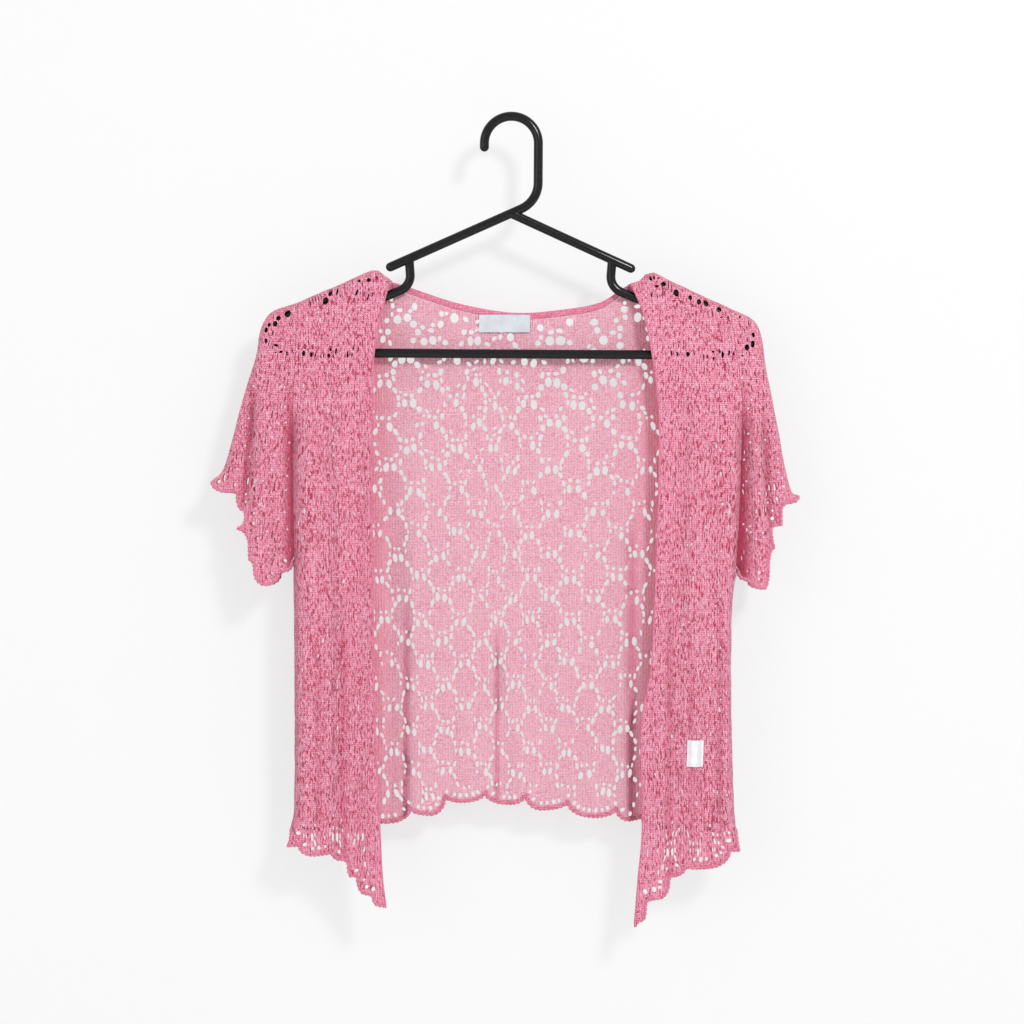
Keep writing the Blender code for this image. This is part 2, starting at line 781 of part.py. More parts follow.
def build_back(material):
    neck = smooth_line(metres(NECKLINE))
    cut_neck = lowered(neck, BINDING_WIDTH + SEAM_GAP)
    outline = tidy(
        list(reversed(smooth_line(metres(RIGHT_SHOULDER))))
        + cut_neck
        + smooth_line(metres(LEFT_SHOULDER))
        + body_armhole(LEFT_ARMHOLE)
        + SIDE_LINES[1]
        + list(reversed(scallop_line(BACK_HEM)))
        + list(reversed(SIDE_LINES[-1]))
        + list(reversed(body_armhole(RIGHT_ARMHOLE)))
    )
    rows = []
    for shoulder in (RIGHT_SHOULDER, LEFT_SHOULDER):
        rows += round_rows(smooth_line(metres(shoulder)), SHOULDER_ROUND)
    for side in (-1, 1):
        rows += round_rows(SIDE_LINES[side], SIDE_ROUND)
    grid = grid_points(outline, BACK_GRID_STEP_X, GRID_STEP_Z)
    holes = back_holes(outline) + hem_holes(BACK_HEM, outline)
    return wall("back", outline, holes, rows, grid, lambda p: cloth_skin(1, p), material)


def build_binding(material):
    neck = smooth_line(metres(NECKLINE))[1:-1]
    outline = neck + list(reversed(lowered(neck, BINDING_WIDTH)))
    return wall(
        "neck_binding",
        outline,
        [],
        [],
        [],
        lambda p: cloth_skin(1, p),
        material,
        lift=-BINDING_PROUD,
        thickness=BINDING_WALL,
    )


def label_outline(centre, size, turn=0.0):
    corners = []
    for across, up in ((-0.5, 0.5), (0.0, 0.5), (0.5, 0.5), (0.5, -0.5), (0.0, -0.5), (-0.5, -0.5)):
        x = across * size[0]
        z = up * size[1]
        corners.append(
            Vector(
                (
                    centre[0] + x * math.cos(turn) - z * math.sin(turn),
                    centre[1] + x * math.sin(turn) + z * math.cos(turn),
                )
            )
        )
    return corners


def care_label_points():
    """The care label's outline, and the points inside it."""
    outline = label_outline(CARE_LABEL_CENTRE, CARE_LABEL_SIZE, CARE_LABEL_TURN)
    return outline, grid_points(outline, CARE_LABEL_GRID, CARE_LABEL_GRID)


def build_labels(material):
    inner_lift = -(BINDING_PROUD + SEAM_GAP + LABEL_WALL)
    wall(
        "neck_label",
        label_outline(NECK_LABEL_CENTRE, NECK_LABEL_SIZE),
        [],
        [],
        [],
        lambda p: cloth_skin(1, p),
        material,
        lift=inner_lift,
        thickness=LABEL_WALL,
    )
    outline, seats = care_label_points()
    wall(
        "care_label",
        outline,
        [],
        seats,
        [],
        lambda p: cloth_skin(-1, p),
        material,
        lift=CLOTH_WALL + CARE_LABEL_GAP,
        thickness=LABEL_WALL,
    )


def main():
    clear_scene()
    plastic = make_material("hanger_plastic", (0.008, 0.008, 0.009), 0.22)
    front_yarn = make_material("front_yarn", (0.72, 0.16, 0.28), 0.85)
    back_yarn = make_material("back_yarn", (0.83, 0.38, 0.50), 0.85)
    binding_yarn = make_material("binding_yarn", (0.67, 0.15, 0.26), 0.85)
    label_cloth = make_material("label_cloth", (0.86, 0.86, 0.88), 0.6)
    build_hanger(plastic)
    build_back(back_yarn)
    build_binding(binding_yarn)
    build_front(
        "front_right",
        RIGHT_SHOULDER,
        RIGHT_FRONT_EDGE,
        RIGHT_FRONT_HEM,
        SIDE_LINES[-1],
        RIGHT_ARMHOLE,
        front_yarn,
    )
    label_edge, label_points = care_label_points()
    build_front(
        "front_left",
        LEFT_SHOULDER,
        LEFT_FRONT_EDGE,
        LEFT_FRONT_HEM,
        SIDE_LINES[1],
        LEFT_ARMHOLE,
        front_yarn,
        seats=label_edge + label_points,
    )
    sleeves = (
        ("sleeve_right", -1, RIGHT_OVERARM, RIGHT_SLEEVE_HEM, RIGHT_ARMHOLE),
        ("sleeve_left", 1, LEFT_OVERARM, LEFT_SLEEVE_HEM, LEFT_ARMHOLE),
    )
    for name, side, overarm, hem, armhole in sleeves:
        build_sleeve_half(f"{name}_front", -1, side, overarm, hem, armhole, front_yarn)
        build_sleeve_half(f"{name}_back", 1, side, overarm, hem, armhole, front_yarn)
    build_labels(label_cloth)


main()
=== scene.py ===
from collections import namedtuple
import functools
import math

import bmesh
import bpy
import numpy as np
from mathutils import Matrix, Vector
from mathutils.geometry import delaunay_2d_cdt


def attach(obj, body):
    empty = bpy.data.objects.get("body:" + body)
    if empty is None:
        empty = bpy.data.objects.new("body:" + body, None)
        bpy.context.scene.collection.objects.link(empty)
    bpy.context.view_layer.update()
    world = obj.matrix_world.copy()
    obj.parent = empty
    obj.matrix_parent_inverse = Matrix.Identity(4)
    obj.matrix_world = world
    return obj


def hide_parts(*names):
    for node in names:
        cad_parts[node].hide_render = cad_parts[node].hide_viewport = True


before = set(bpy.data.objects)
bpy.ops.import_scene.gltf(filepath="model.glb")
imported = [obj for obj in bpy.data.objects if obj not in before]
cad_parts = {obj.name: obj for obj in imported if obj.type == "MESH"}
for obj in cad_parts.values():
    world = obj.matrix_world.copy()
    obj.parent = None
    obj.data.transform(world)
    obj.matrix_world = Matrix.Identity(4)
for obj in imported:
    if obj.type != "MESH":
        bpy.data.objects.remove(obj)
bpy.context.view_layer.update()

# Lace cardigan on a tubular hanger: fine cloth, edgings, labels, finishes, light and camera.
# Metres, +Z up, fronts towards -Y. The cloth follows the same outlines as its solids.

MM = 0.001
SEAM_GAP = 0.0003
WALL = 0.0012
THIN_WALL = 0.0010
SKIN_LIFT = 0.0001
HANGER_CLEARANCE = 0.0048
FRONT_DEPTH = 0.0110
BACK_DEPTH = 0.0090
DEPTH_RUN = 0.055
SHOULDER_ROUND = 0.0048
SIDE_ROUND = 0.0080
FOLD_FADE = 0.035

# Outlines in the front plane, in millimetres: x, z
RIGHT_SHOULDER = (
    (-102.9, -137.3), (-110, -132.4), (-118.7, -128.9), (-143, -139.2), (-167, -149.6), (-182, -156.2),
)
RIGHT_OVERARM = (
    (-182, -156.2), (-202, -163), (-209.8, -170.6), (-214.2, -183), (-217.2, -201), (-229.6, -242),
    (-243.6, -294), (-255.2, -308.3),
)
LEFT_SHOULDER = (
    (101.6, -138.6), (109.7, -136), (118.3, -130), (140.5, -140.2), (163.5, -150.8), (186, -161),
)
LEFT_OVERARM = (
    (186, -161), (204.8, -170.4), (212, -183.2), (216.4, -212), (223.2, -246), (236, -311.3),
    (244.5, -321),
)
RIGHT_ARMHOLE = (
    (-182, -156.2), (-185.4, -240), (-186.6, -306), (-185.2, -375.3),
)
LEFT_ARMHOLE = (
    (186, -161), (196, -240), (195, -318), (191.6, -383.4),
)
RIGHT_SIDE = (
    (-185.2, -375.3), (-184.2, -480), (-184.4, -580), (-187.5, -603),
)
LEFT_SIDE = (
    (191.6, -383.4), (187.3, -414), (186.4, -494), (188.6, -580), (190.4, -603),
)
RIGHT_FRONT_EDGE = (
    (-102.9, -137.3), (-107.2, -148.6), (-116.6, -193.9), (-118.3, -238.3), (-118.7, -323.7),
    (-116.6, -494.5), (-112.3, -599.5), (-110.2, -642.2), (-107, -670.4),
)
LEFT_FRONT_EDGE = (
    (101.6, -138.6), (112.3, -164), (119.1, -195.1), (125.7, -251.9), (125.1, -323.7), (119.6, -457.7),
    (110.6, -516.7), (111.6, -600), (108, -644.8), (104.6, -686.6),
)
NECKLINE = (
    (-102.9, -137.3), (-90.4, -140.6), (-44, -155.4), (3, -163.1), (45.7, -160.1), (75.6, -154.4),
    (93.5, -143.5), (101.6, -138.6),
)

# Scallops: a cusp's x, z and the lowest point's x, z
BACK_HEM = (
    (-187.5, -603, -170, -608), (-152, -599, -134, -607), (-119, -598, -104.9, -600.5),
    (-86.7, -587.6, -69, -593.5), (-56.8, -577.5, -43, -582.5), (-22.6, -574.5, -2.1, -584.5),
    (12, -576.2, 25.8, -589), (47.9, -581.9, 70.8, -595.5), (89.6, -588, 101, -598.5),
    (111.4, -595.2, 130, -606), (148, -599, 168, -608), (190.4, -603, 190.4, -603),
)
RIGHT_FRONT_HEM = (
    (-187.5, -603, -190.8, -617.4), (-180.5, -617.5, -168, -625.5), (-153, -623, -145, -629),
    (-139, -633, -136.5, -643.5), (-131.5, -644.5, -124.5, -658.5), (-117.5, -661.5, -111, -668.5),
    (-107, -670.4, -107, -670.4),
)
LEFT_FRONT_HEM = (
    (190.4, -603, 193, -620.8), (185, -620, 165, -635.8), (147.5, -633.5, 136, -643),
    (133, -649, 125.5, -661), (113.2, -666.5, 110.6, -680.2), (104.6, -686.6, 104.6, -686.6),
)
RIGHT_SLEEVE_HEM = (
    (-255.2, -308.3, -244, -316), (-233.6, -318, -229.5, -331.5), (-226, -338.5, -233, -348),
    (-222.5, -362.5, -222, -374.5), (-217.8, -384.5, -208.5, -395.5), (-198.5, -387, -193.5, -384),
    (-187.2, -374.3, -187.2, -374.3),
)
LEFT_SLEEVE_HEM = (
    (244.5, -321, 237, -325.5), (229.3, -333.1, 229.5, -344.5), (221, -347.6, 223.5, -364),
    (218, -379.5, 214.5, -398.5), (204, -395, 198.5, -391), (193.6, -382.4, 193.6, -382.4),
)

# Folds: x, z at the top, x, z at the bottom, half width and height
FRONT_FOLDS = (
    (-170, -215, -172, -615, 8, 3.4), (-157, -240, -158, -620, 5.5, -3), (-144, -190, -146, -625, 7, 3.2),
    (-131, -260, -130, -640, 5, -2.6), (-121, -190, -116, -665, 4.5, 3),
    (-186.6, -238, -186, -378, 6.5, -4.4), (-222, -210, -231, -318, 5.5, -3.6),
    (-211, -215, -213, -392, 6.5, 3.6), (-200, -230, -199, -388, 5, -2.6), (135, -205, 122, -660, 6, 3.2),
    (146, -230, 137, -640, 5.5, -3), (158, -195, 152, -630, 7.5, 3.4), (172, -240, 167, -628, 5.5, -2.8),
    (183, -420, 181, -615, 5, 2.6), (197, -238, 193.5, -385, 6.5, -4.4), (208, -222, 212, -396, 6, 3.6),
    (217, -235, 223, -345, 5, -3.2),
)
BACK_FOLDS = (
    (-98, -330, -99, -598, 7, 3.2), (-84, -300, -82, -588, 8, -2.2), (-16, -420, -3, -584, 5, 3.6),
    (40, -380, 50, -582, 9, -2.2), (101, -330, 108, -596, 6, 3.6), (-150, -230, -154, -600, 11, 3),
    (150, -240, 149, -600, 11, 3), (-187, -240, -186, -378, 7, -3.6), (197, -240, 194, -385, 7, -3.6),
    (-214, -215, -222, -370, 7, 3.2), (212, -225, 218, -375, 7, 3.2),
)
BINDING_WIDTH = 0.0060
BINDING_STEP = 0.0011
BINDING_ROWS = 9
BINDING_RIB = 0.00016
BINDING_CROWN = 0.0010
BINDING_EDGE = 0.00025
CORD_SIDES = 8
CORD_RING_STEP = 0.0008
CORD_BUMP_STEP = 0.0036
HEM_BUMP = 0.26
EDGE_BUMP = 0.08
LABEL_THICKNESS = 0.0005
LABEL_RIPPLE = 0.00012
LABEL_GRID = (26, 14)
EDGE_BAND = 0.0095
HEM_BORDER = 0.0062
HEM_EYELET_INSET = 0.0055
HEM_EYELET_SPACING = 0.0062
HEM_EYELET_RADIUS = 0.00185
HOLE_GAP = 0.0008
SLIT_GAP = 0.0007
SLIT_HALF_WIDTH = (0.36, 0.74)
PINHOLE = 0.85
PINHOLE_BEHIND = 1.25

# The photograph's view
FRAME_WIDTH = 0.8745
FRAME_CENTRE = (0.0004, -0.334)
CAMERA_AWAY = 2.2

# Lace chart: one leaf with its eyelets, in millimetres from the pair of large ones at its head
Eyelet = namedtuple("Eyelet", "across up half_width half_height lean")

LEAF = (
    Eyelet(3.5, 0.0, 2.30, 3.9, 0.0),
    Eyelet(8.3, -4.7, 1.85, 3.1, 22.0),
    Eyelet(10.7, -11.0, 1.60, 2.9, 10.0),
    Eyelet(10.9, -17.3, 1.25, 2.3, -5.0),
    Eyelet(2.6, 7.0, 1.60, 1.9, 0.0),
)
LEAF_COLUMN_WIDTH = 18.75
LEAF_PERIOD_Z = 37.2
LEAF_TOP = -185.5

# Lace columns of the back: x at the upper and at the lower level
BACK_COLUMNS = (
    (-218, -187), (-200, -170.5), (-182, -154), (-163.5, -137), (-145, -120), (-126.5, -103.5),
    (-107.3, -88), (-87.5, -73), (-67.5, -57.4), (-48.5, -40.5), (-31, -25), (-16.5, -11), (-2, 3),
    (15, 17.3), (35.5, 32), (56.5, 47.8), (79, 64.6), (99.5, 82.1), (118.5, 99), (137.5, 116), (156, 133),
    (174.5, 150), (193, 167), (211, 184),
)
COLUMN_UPPER_LEVEL = -258.0
COLUMN_LOWER_LEVEL = -480.0

# Larger gaps where the cloth is stretched: x, z, half width, half height and lean in degrees
RIGHT_SLOTS = (
    (-119.9, -130.7, 1.28, 1.43, 0), (-125.5, -133, 1.28, 1.64, -25), (-114.8, -134.8, 1.54, 1.95, 20),
    (-121.7, -136.5, 1.74, 1.95, -10), (-129.6, -137.3, 1.43, 1.33, 0), (-139.4, -138.8, 1.33, 1.13, 0),
    (-142.2, -139.2, 1.02, 1.02, 0), (-154.2, -147.6, 1.74, 3.07, -25), (-148.6, -146.7, 0.92, 3.17, -18),
    (-158.3, -154.2, 2.56, 3.38, -20), (-152.7, -155.7, 0.92, 2.36, -18), (-162.9, -159.8, 0.82, 1.64, 20),
    (-131.7, -147, 1.02, 3.17, -20), (-138.3, -153.2, 1.13, 4.30, -16), (-134.3, -153.7, 0.82, 2.76, -16),
    (-122, -151.1, 0.61, 3.58, -14), (-118.4, -148.6, 0.51, 3.07, -12), (-180.8, -159.3, 2.66, 1.84, 10),
    (-187.5, -158.8, 2.15, 1.74, 20), (-190.6, -165, 2.87, 3.48, -20), (-198.5, -169, 1.95, 2.20, -20),
    (-201.3, -173.7, 2.15, 2.46, -15), (-206.3, -174.6, 1.50, 2.00, -25), (-209, -179.1, 1.64, 2.36, -15),
    (-209.4, -183.2, 1.33, 1.64, 0), (-209.2, -188.3, 1.43, 2.25, 0), (-176.2, -155.5, 0.46, 3.07, 12),
    (-174, -155.9, 0.46, 3.38, 12), (-171.6, -155.3, 0.46, 3.38, 12), (-169.3, -153.9, 0.46, 3.17, 12),
    (-166.9, -153.1, 0.46, 3.07, 12), (-164.6, -152.3, 0.46, 2.87, 12), (-162.2, -151.1, 0.46, 2.56, 12),
    (-200.3, -192.1, 2.46, 1.23, -10), (-196.2, -197.7, 1.74, 1.23, 10), (-191.1, -199, 0.72, 2.56, 10),
    (-200.8, -198.2, 0.92, 0.72, 0), (-175.5, -193.1, 1.54, 2.36, 0), (-176.7, -199.3, 1.54, 2.56, -5),
    (-169.1, -193.6, 1.23, 2.36, 0), (-170.1, -200.3, 1.43, 2.36, 0), (-166.5, -200.8, 0.56, 2.25, 0),
    (-162.4, -202, 0.61, 1.64, 0), (-153.7, -195, 1.13, 2.66, 5), (-149.1, -197.2, 0.92, 2.76, -5),
    (-155.4, -201.2, 1.43, 2.15, 0), (-150, -200.8, 0.72, 1.95, 0), (-134.3, -194.3, 1.02, 2.56, -8),
    (-139.2, -200.3, 0.82, 3.17, -5), (-135.5, -201, 0.56, 2.66, -5), (-180.9, -287.1, 0.88, 2.68, -8.8),
    (-175.7, -298.8, 0.85, 2.65, -8.8), (-177.2, -281.2, 1.09, 3.24, -5.9),
    (-180.1, -273.8, 0.87, 3.03, -9.8), (-175, -307.7, 0.86, 2.68, -10.3),
    (-176.5, -315, 1.10, 3.26, -5.5), (-172, -315, 1.06, 2.75, -9.5), (-169.8, -320.9, 1.00, 3.19, -5.2),
    (-177.2, -324.6, 1.08, 2.67, -7.2), (-176.2, -334.1, 1.01, 3.00, -10.6),
    (-172.8, -326, 0.95, 2.67, -4.5), (-172, -335.6, 1.08, 3.04, -9.6), (-181.6, -350.3, 1.09, 3.06, -4.9),
    (-176.2, -356.2, 1.07, 3.01, -8.7), (-176.9, -346.6, 0.99, 2.94, -10.7),
    (-172.8, -342.9, 0.90, 3.25, -11.7), (-171, -357.7, 0.81, 3.10, -9.8),
    (-185.3, -340, 0.97, 2.98, -9.3), (-183.8, -365, 1.12, 2.76, -8.7), (-178.7, -365, 0.86, 3.11, -9.8),
    (-174.2, -366.5, 0.91, 3.20, -9.4), (-166.9, -338.5, 0.98, 3.32, -11.2),
    (-182.3, -265, 0.82, 2.78, -5.9), (-171.3, -303.2, 1.00, 2.79, -9.4),
)
LEFT_SLOTS = (
    (118.3, -135.1, 1.27, 2.45, 30), (121.3, -134.3, 1.18, 1.67, 0), (125, -135.1, 0.98, 1.08, 0),
    (129.4, -140, 2.35, 2.16, 0), (123.5, -141.8, 1.86, 1.27, 0), (140.2, -147.4, 2.35, 3.24, 15),
    (146.9, -145.5, 1.67, 1.96, 20), (156.4, -148.4, 1.57, 0.69, 25), (138.7, -154.2, 1.67, 1.08, 35),
    (144.6, -155.2, 0.98, 1.96, 35), (152.2, -151.5, 1.67, 2.25, 20), (159.6, -155.2, 1.96, 2.45, 15),
    (165.5, -156.2, 2.06, 3.24, 25), (176.7, -161.8, 2.06, 2.45, 15), (183.5, -162.3, 2.25, 2.16, 20),
    (189.2, -169.7, 1.96, 2.75, 20), (194.3, -168, 0.98, 1.27, 0), (205.9, -183.2, 1.47, 2.25, 15),
    (205.4, -191, 1.86, 3.24, 0), (200.5, -193.9, 2.16, 2.84, 0), (196.6, -201, 0.98, 0.98, 0),
    (135.8, -198.8, 0.64, 3.04, 5), (140.9, -199.8, 0.88, 2.35, 15), (149.8, -200, 1.57, 2.25, 0),
    (155, -198.4, 0.59, 2.94, 12), (156.9, -199.3, 0.59, 2.35, -12), (166.2, -202, 0.78, 1.96, 0),
    (171.3, -196.9, 1.27, 2.25, 0), (171.7, -203.9, 0.98, 2.06, 0), (176.7, -197.1, 1.18, 2.25, 20),
    (179.4, -200.3, 1.27, 2.94, 0), (189.2, -199.3, 0.69, 2.55, 0), (153.9, -158.2, 1.08, 1.47, 30),
    (178.4, -168.9, 0.98, 1.18, 0), (183.8, -173.1, 0.98, 0.98, 0), (172.3, -291.5, 0.88, 2.68, -10.8),
    (177.4, -262.1, 0.85, 2.65, -10.8), (181.1, -257.7, 1.09, 3.24, -7.9),
    (181.8, -292.9, 0.87, 3.03, -11.8), (186.2, -285.6, 0.86, 2.68, -12.3),
    (178.2, -300.3, 1.10, 3.26, -7.5), (182.3, -303.2, 1.06, 2.75, -11.5),
    (185.5, -297.4, 1.00, 3.19, -7.2), (177.4, -310.6, 1.08, 2.67, -9.2), (173, -313.5, 1.01, 3.00, -12.6),
    (178.2, -319.4, 0.95, 2.67, -6.5), (188.5, -321.6, 1.08, 3.04, -11.6),
    (179.2, -326.8, 1.09, 3.06, -6.9), (185.5, -326, 1.07, 3.01, -10.7),
    (172.3, -334.1, 0.99, 2.94, -12.7), (177.4, -333.4, 0.90, 3.25, -13.7),
    (185.2, -334.1, 0.81, 3.10, -11.8), (189.2, -331.2, 0.97, 2.98, -11.3),
    (171.5, -340.7, 1.12, 2.76, -10.7), (177.4, -340.7, 0.86, 3.11, -11.8),
    (185.5, -340.7, 0.91, 3.20, -11.4), (189.9, -365, 0.98, 3.32, -13.2), (184.8, -365, 0.82, 2.78, -7.9),
    (162, -331.2, 1.00, 2.79, -11.4), (163.2, -342.9, 0.86, 2.97, -13.7),
    (190.2, -353.2, 1.02, 3.32, -6.4), (179.6, -273.8, 1.04, 3.37, -13.9),
    (174.5, -276.8, 0.89, 3.37, -7.8),
)

# Pinholes that open both halves of a sleeve: x, z
RIGHT_PINHOLES = (
    (-224.3, -254), (-227.2, -277.5), (-223.5, -286.8), (-203.7, -270.2), (-201.5, -285.9),
    (-203.7, -298.1), (-195.9, -227.1), (-193.1, -227.9), (-208.1, -250.3), (-191.9, -257.7),
    (-189.4, -274.9), (-191.2, -303.2), (-192.2, -315.3), (-214, -327.5), (-198.5, -258.4),
    (-192.6, -244.4), (-205.4, -262.1), (-193.1, -334.1), (-190.9, -348.8), (-215.4, -360.6),
    (-198.5, -340), (-233.8, -297.4), (-207.3, -350.3), (-219.8, -226.8), (-211, -307.7),
)
LEFT_PINHOLES = (
    (196.1, -219.7), (196.1, -233.4), (201.4, -245.9), (196.5, -264.3), (201.7, -267.2), (203.2, -274.6),
    (208.3, -281.2), (198.5, -289.3), (200.2, -307.7), (226.7, -288.5), (227.4, -300.3), (230.4, -305.4),
    (231.8, -312.1), (197.6, -344.4), (202.7, -346.2), (203.5, -351), (207.6, -356.9), (213.5, -362.1),
    (212.7, -373.8), (227.4, -342.2), (218.6, -326), (210.5, -317.9), (205.8, -202.5), (204.3, -238.5),
    (216.4, -272.4),
)

# Narrow creases, seen only in the fine cloth
FRONT_CREASES = (
    (-221, -222, -225.5, -322, 2.6, -3.6), (-204, -290, -204, -388, 2.4, -1.8),
    (-151, -330, -152, -615, 2.4, -1.7), (-134, -420, -131, -645, 2.2, -1.7),
    (-165, -420, -166, -610, 2.4, -1.6), (214, -245, 219.5, -345, 2.6, -3.2),
    (203, -270, 205, -385, 2.4, -1.9), (140, -300, 130, -645, 2.4, -1.8),
    (153, -420, 147, -630, 2.4, -1.6), (165, -330, 160, -620, 2.4, -1.6),
    (177, -400, 175, -612, 2.4, -1.5),
)
BACK_CREASES = (
    (-90, -400, -92, -592, 2.6, 4.2), (-104, -300, -104, -598, 2.6, 2.6), (-13, -440, -13, -574, 2.2, 4.2),
    (27, -470, 31, -575, 2, 1.6), (60, -480, 66, -585, 2.2, 1.6), (103, -330, 105, -592, 3.6, 3),
    (-47, -450, -50, -578, 2, 1.4),
)

# The sleeves' edge sinks behind the body's at the armhole
CREASE_TOP = -0.235
CREASE_RUN = 0.040
FRONT_CREASE = 0.0052
BACK_CREASE = 0.0028
BODY_CREASE_WIDTH = 0.0024
SLEEVE_CREASE_WIDTH = 0.0075


def metres(rows):
    return np.array([(row[0], row[1]) for row in rows], float) * MM


def smooth_line(points, step):
    """A smooth curve through the points, with a point at least every step."""
    line = [points[0]]
    for index in range(len(points) - 1):
        start, end = points[index], points[index + 1]
        before = points[index - 1] if index else 2.0 * start - end
        after = points[index + 2] if index + 2 < len(points) else 2.0 * end - start
        count = max(1, math.ceil(np.linalg.norm(end - start) / step))
        for piece in range(1, count + 1):
            t = piece / count
            curve = 2.0 * start + (end - before) * t
            curve = curve + (2.0 * before - 5.0 * start + 4.0 * end - after) * t**2
            curve = curve + (3.0 * start - before - 3.0 * end + after) * t**3
            line.append(0.5 * curve)
    return np.array(line)


def scallop_line(rows, steps):
    """Rounded scallops from cusp to cusp, each through its lowest point."""
    cusps, lows = metres(rows), metres([row[2:] for row in rows])
    line = [cusps[0]]
    for first, low, last in zip(cusps, lows, cusps[1:]):
        for cusp, order in ((first, range(1, steps + 1)), (last, range(steps - 1, -1, -1))):
            for step in order:
                turn = math.pi / 2.0 * step / steps
                part = np.array((1.0 - math.cos(turn), math.sin(turn)))
                line.append(cusp + (low - cusp) * part)
    return np.array(line)


def nearest_on(line, points):
    """Distance from each point to the line, and the unit direction towards it."""
    start = line[:-1]
    span = line[1:] - start
    reach = points[:, None, :] - start[None]
    part = np.clip((reach * span).sum(2) / (span**2).sum(1), 0.0, 1.0)
    foot = start + part[..., None] * span
    distance = np.linalg.norm(foot - points[:, None, :], axis=2)
    best = distance.argmin(1)
    rows = np.arange(len(points))
    foot, near, along = foot[rows, best], distance[rows, best], span[best]
    along = along / np.linalg.norm(along, axis=1)[:, None]
    outward = np.stack((along[:, 1], -along[:, 0]), 1)
    wrong = ~((outward[:, 0] * foot[:, 0] > 0.0) | (outward[:, 1] > 0.5))
    outward[wrong] *= -1.0
    away = (foot - points) / np.maximum(near, 1e-9)[:, None]
    on_line = near < 2e-5
    return np.where(on_line, 0.0, near), np.where(on_line[:, None], outward, away)


def round_off(distance, radius):
    return np.sqrt(np.maximum(0.0, 1.0 - (1.0 - np.minimum(distance / radius, 1.0)) ** 2))


def ease(value):
    value = np.clip(value, 0.0, 1.0)
    return value * value * (3.0 - 2.0 * value)


SHOULDER_LINES, SIDE_LINES, ARMHOLE_LINES = {}, {}, {}
for way, shoulder, overarm, flank, armhole in (
    (-1, RIGHT_SHOULDER, RIGHT_OVERARM, RIGHT_SIDE, RIGHT_ARMHOLE),
    (1, LEFT_SHOULDER, LEFT_OVERARM, LEFT_SIDE, LEFT_ARMHOLE),
):
    over = smooth_line(metres(overarm), 0.004)[1:]
    SHOULDER_LINES[way] = np.concatenate((smooth_line(metres(shoulder), 0.004), over))
    SIDE_LINES[way] = smooth_line(metres(flank), 0.006)
    ARMHOLE_LINES[way] = smooth_line(metres(armhole), 0.006)


def fold_height(folds, points):
    total = np.zeros(len(points))
    for top_x, top_z, bottom_x, bottom_z, half_width, height in folds:
        top = np.array((top_x, top_z)) * MM
        span = np.array((bottom_x, bottom_z)) * MM - top
        length = np.linalg.norm(span)
        reach = points - top
        along = reach @ span / length
        across = (reach[:, 0] * span[1] - reach[:, 1] * span[0]) / length
        inside = np.minimum(along, length - along + FOLD_FADE)
        soft = ease(np.maximum(inside, 0.0) / FOLD_FADE)
        total += height * MM * np.exp(-((across / (half_width * MM)) ** 2)) * soft
    return total


def cloth_skin(layer, points, seam_outward=True):
    """Inner points and outward normals. layer is -1 in the fronts and 1 in the back."""
    inner = np.zeros((len(points), 3))
    normal = np.zeros((len(points), 3))
    depth = FRONT_DEPTH if layer < 0 else BACK_DEPTH
    folds = FRONT_FOLDS + FRONT_CREASES if layer < 0 else BACK_FOLDS + BACK_CREASES
    crease = FRONT_CREASE if layer < 0 else BACK_CREASE
    crease_width = BODY_CREASE_WIDTH if seam_outward else SLEEVE_CREASE_WIDTH
    for side in (-1, 1):
        mine = points[:, 0] < 0.0 if side < 0 else points[:, 0] >= 0.0
        if not mine.any():
            continue
        at = points[mine]
        to_shoulder, shoulder_way = nearest_on(SHOULDER_LINES[side], at)
        to_side, side_way = nearest_on(SIDE_LINES[side], at)
        away = HANGER_CLEARANCE + (depth - HANGER_CLEARANCE) * ease(to_shoulder / DEPTH_RUN)
        away = away + fold_height(folds, at)
        to_seam = nearest_on(ARMHOLE_LINES[side], at)[0]
        sunk = crease * ease((CREASE_TOP - at[:, 1]) / CREASE_RUN)
        away = away - sunk * np.exp(-((to_seam / crease_width) ** 2))
        bulge = round_off(to_shoulder, SHOULDER_ROUND) * round_off(to_side, SIDE_ROUND)
        flat = shoulder_way * (1.0 - np.minimum(to_shoulder / SHOULDER_ROUND, 1.0))[:, None]
        if seam_outward:
            flat = flat + side_way * (1.0 - np.minimum(to_side / SIDE_ROUND, 1.0))[:, None]
        inner[mine] = np.stack((at[:, 0], layer * (SEAM_GAP / 2.0 + away * bulge), at[:, 1]), 1)
        way = np.stack((flat[:, 0], layer * np.maximum(bulge, 1e-3), flat[:, 1]), 1)
        normal[mine] = way / np.linalg.norm(way, axis=1)[:, None]
    return inner, normal


# Flat geometry


def contains(polygon, points):
    hit = np.zeros(len(points), bool)
    for (ax, az), (bx, bz) in zip(polygon, np.roll(polygon, -1, 0)):
        crosses = (az > points[:, 1]) != (bz > points[:, 1])
        if az != bz:
            at = ax + (points[:, 1] - az) * (bx - ax) / (bz - az)
            hit ^= crosses & (points[:, 0] < at)
    return hit


def turned_left(polygon):
    following = np.roll(polygon, -1, 0)
    area = (polygon[:, 0] * following[:, 1] - following[:, 0] * polygon[:, 1]).sum()
    return polygon if area > 0.0 else polygon[::-1]


def tidy_line(line):
    keep = [line[0]]
    for point in line[1:]:
        if np.linalg.norm(point - keep[-1]) > 1e-4:
            keep.append(point)
    if np.linalg.norm(keep[0] - keep[-1]) < 1e-4:
        keep.pop()
    return np.array(keep)


def closed(line):
    return np.concatenate((line, line[:1]))


def ellipse(centre, half_width, half_height, lean, corners):
    turn = np.arange(corners) * 2.0 * math.pi / corners + math.pi / corners
    x = half_width * np.cos(turn)
    z = half_height * np.sin(turn)
    c, s = math.cos(lean), math.sin(lean)
    return np.stack((centre[0] + x * c - z * s, centre[1] + x * s + z * c), 1)


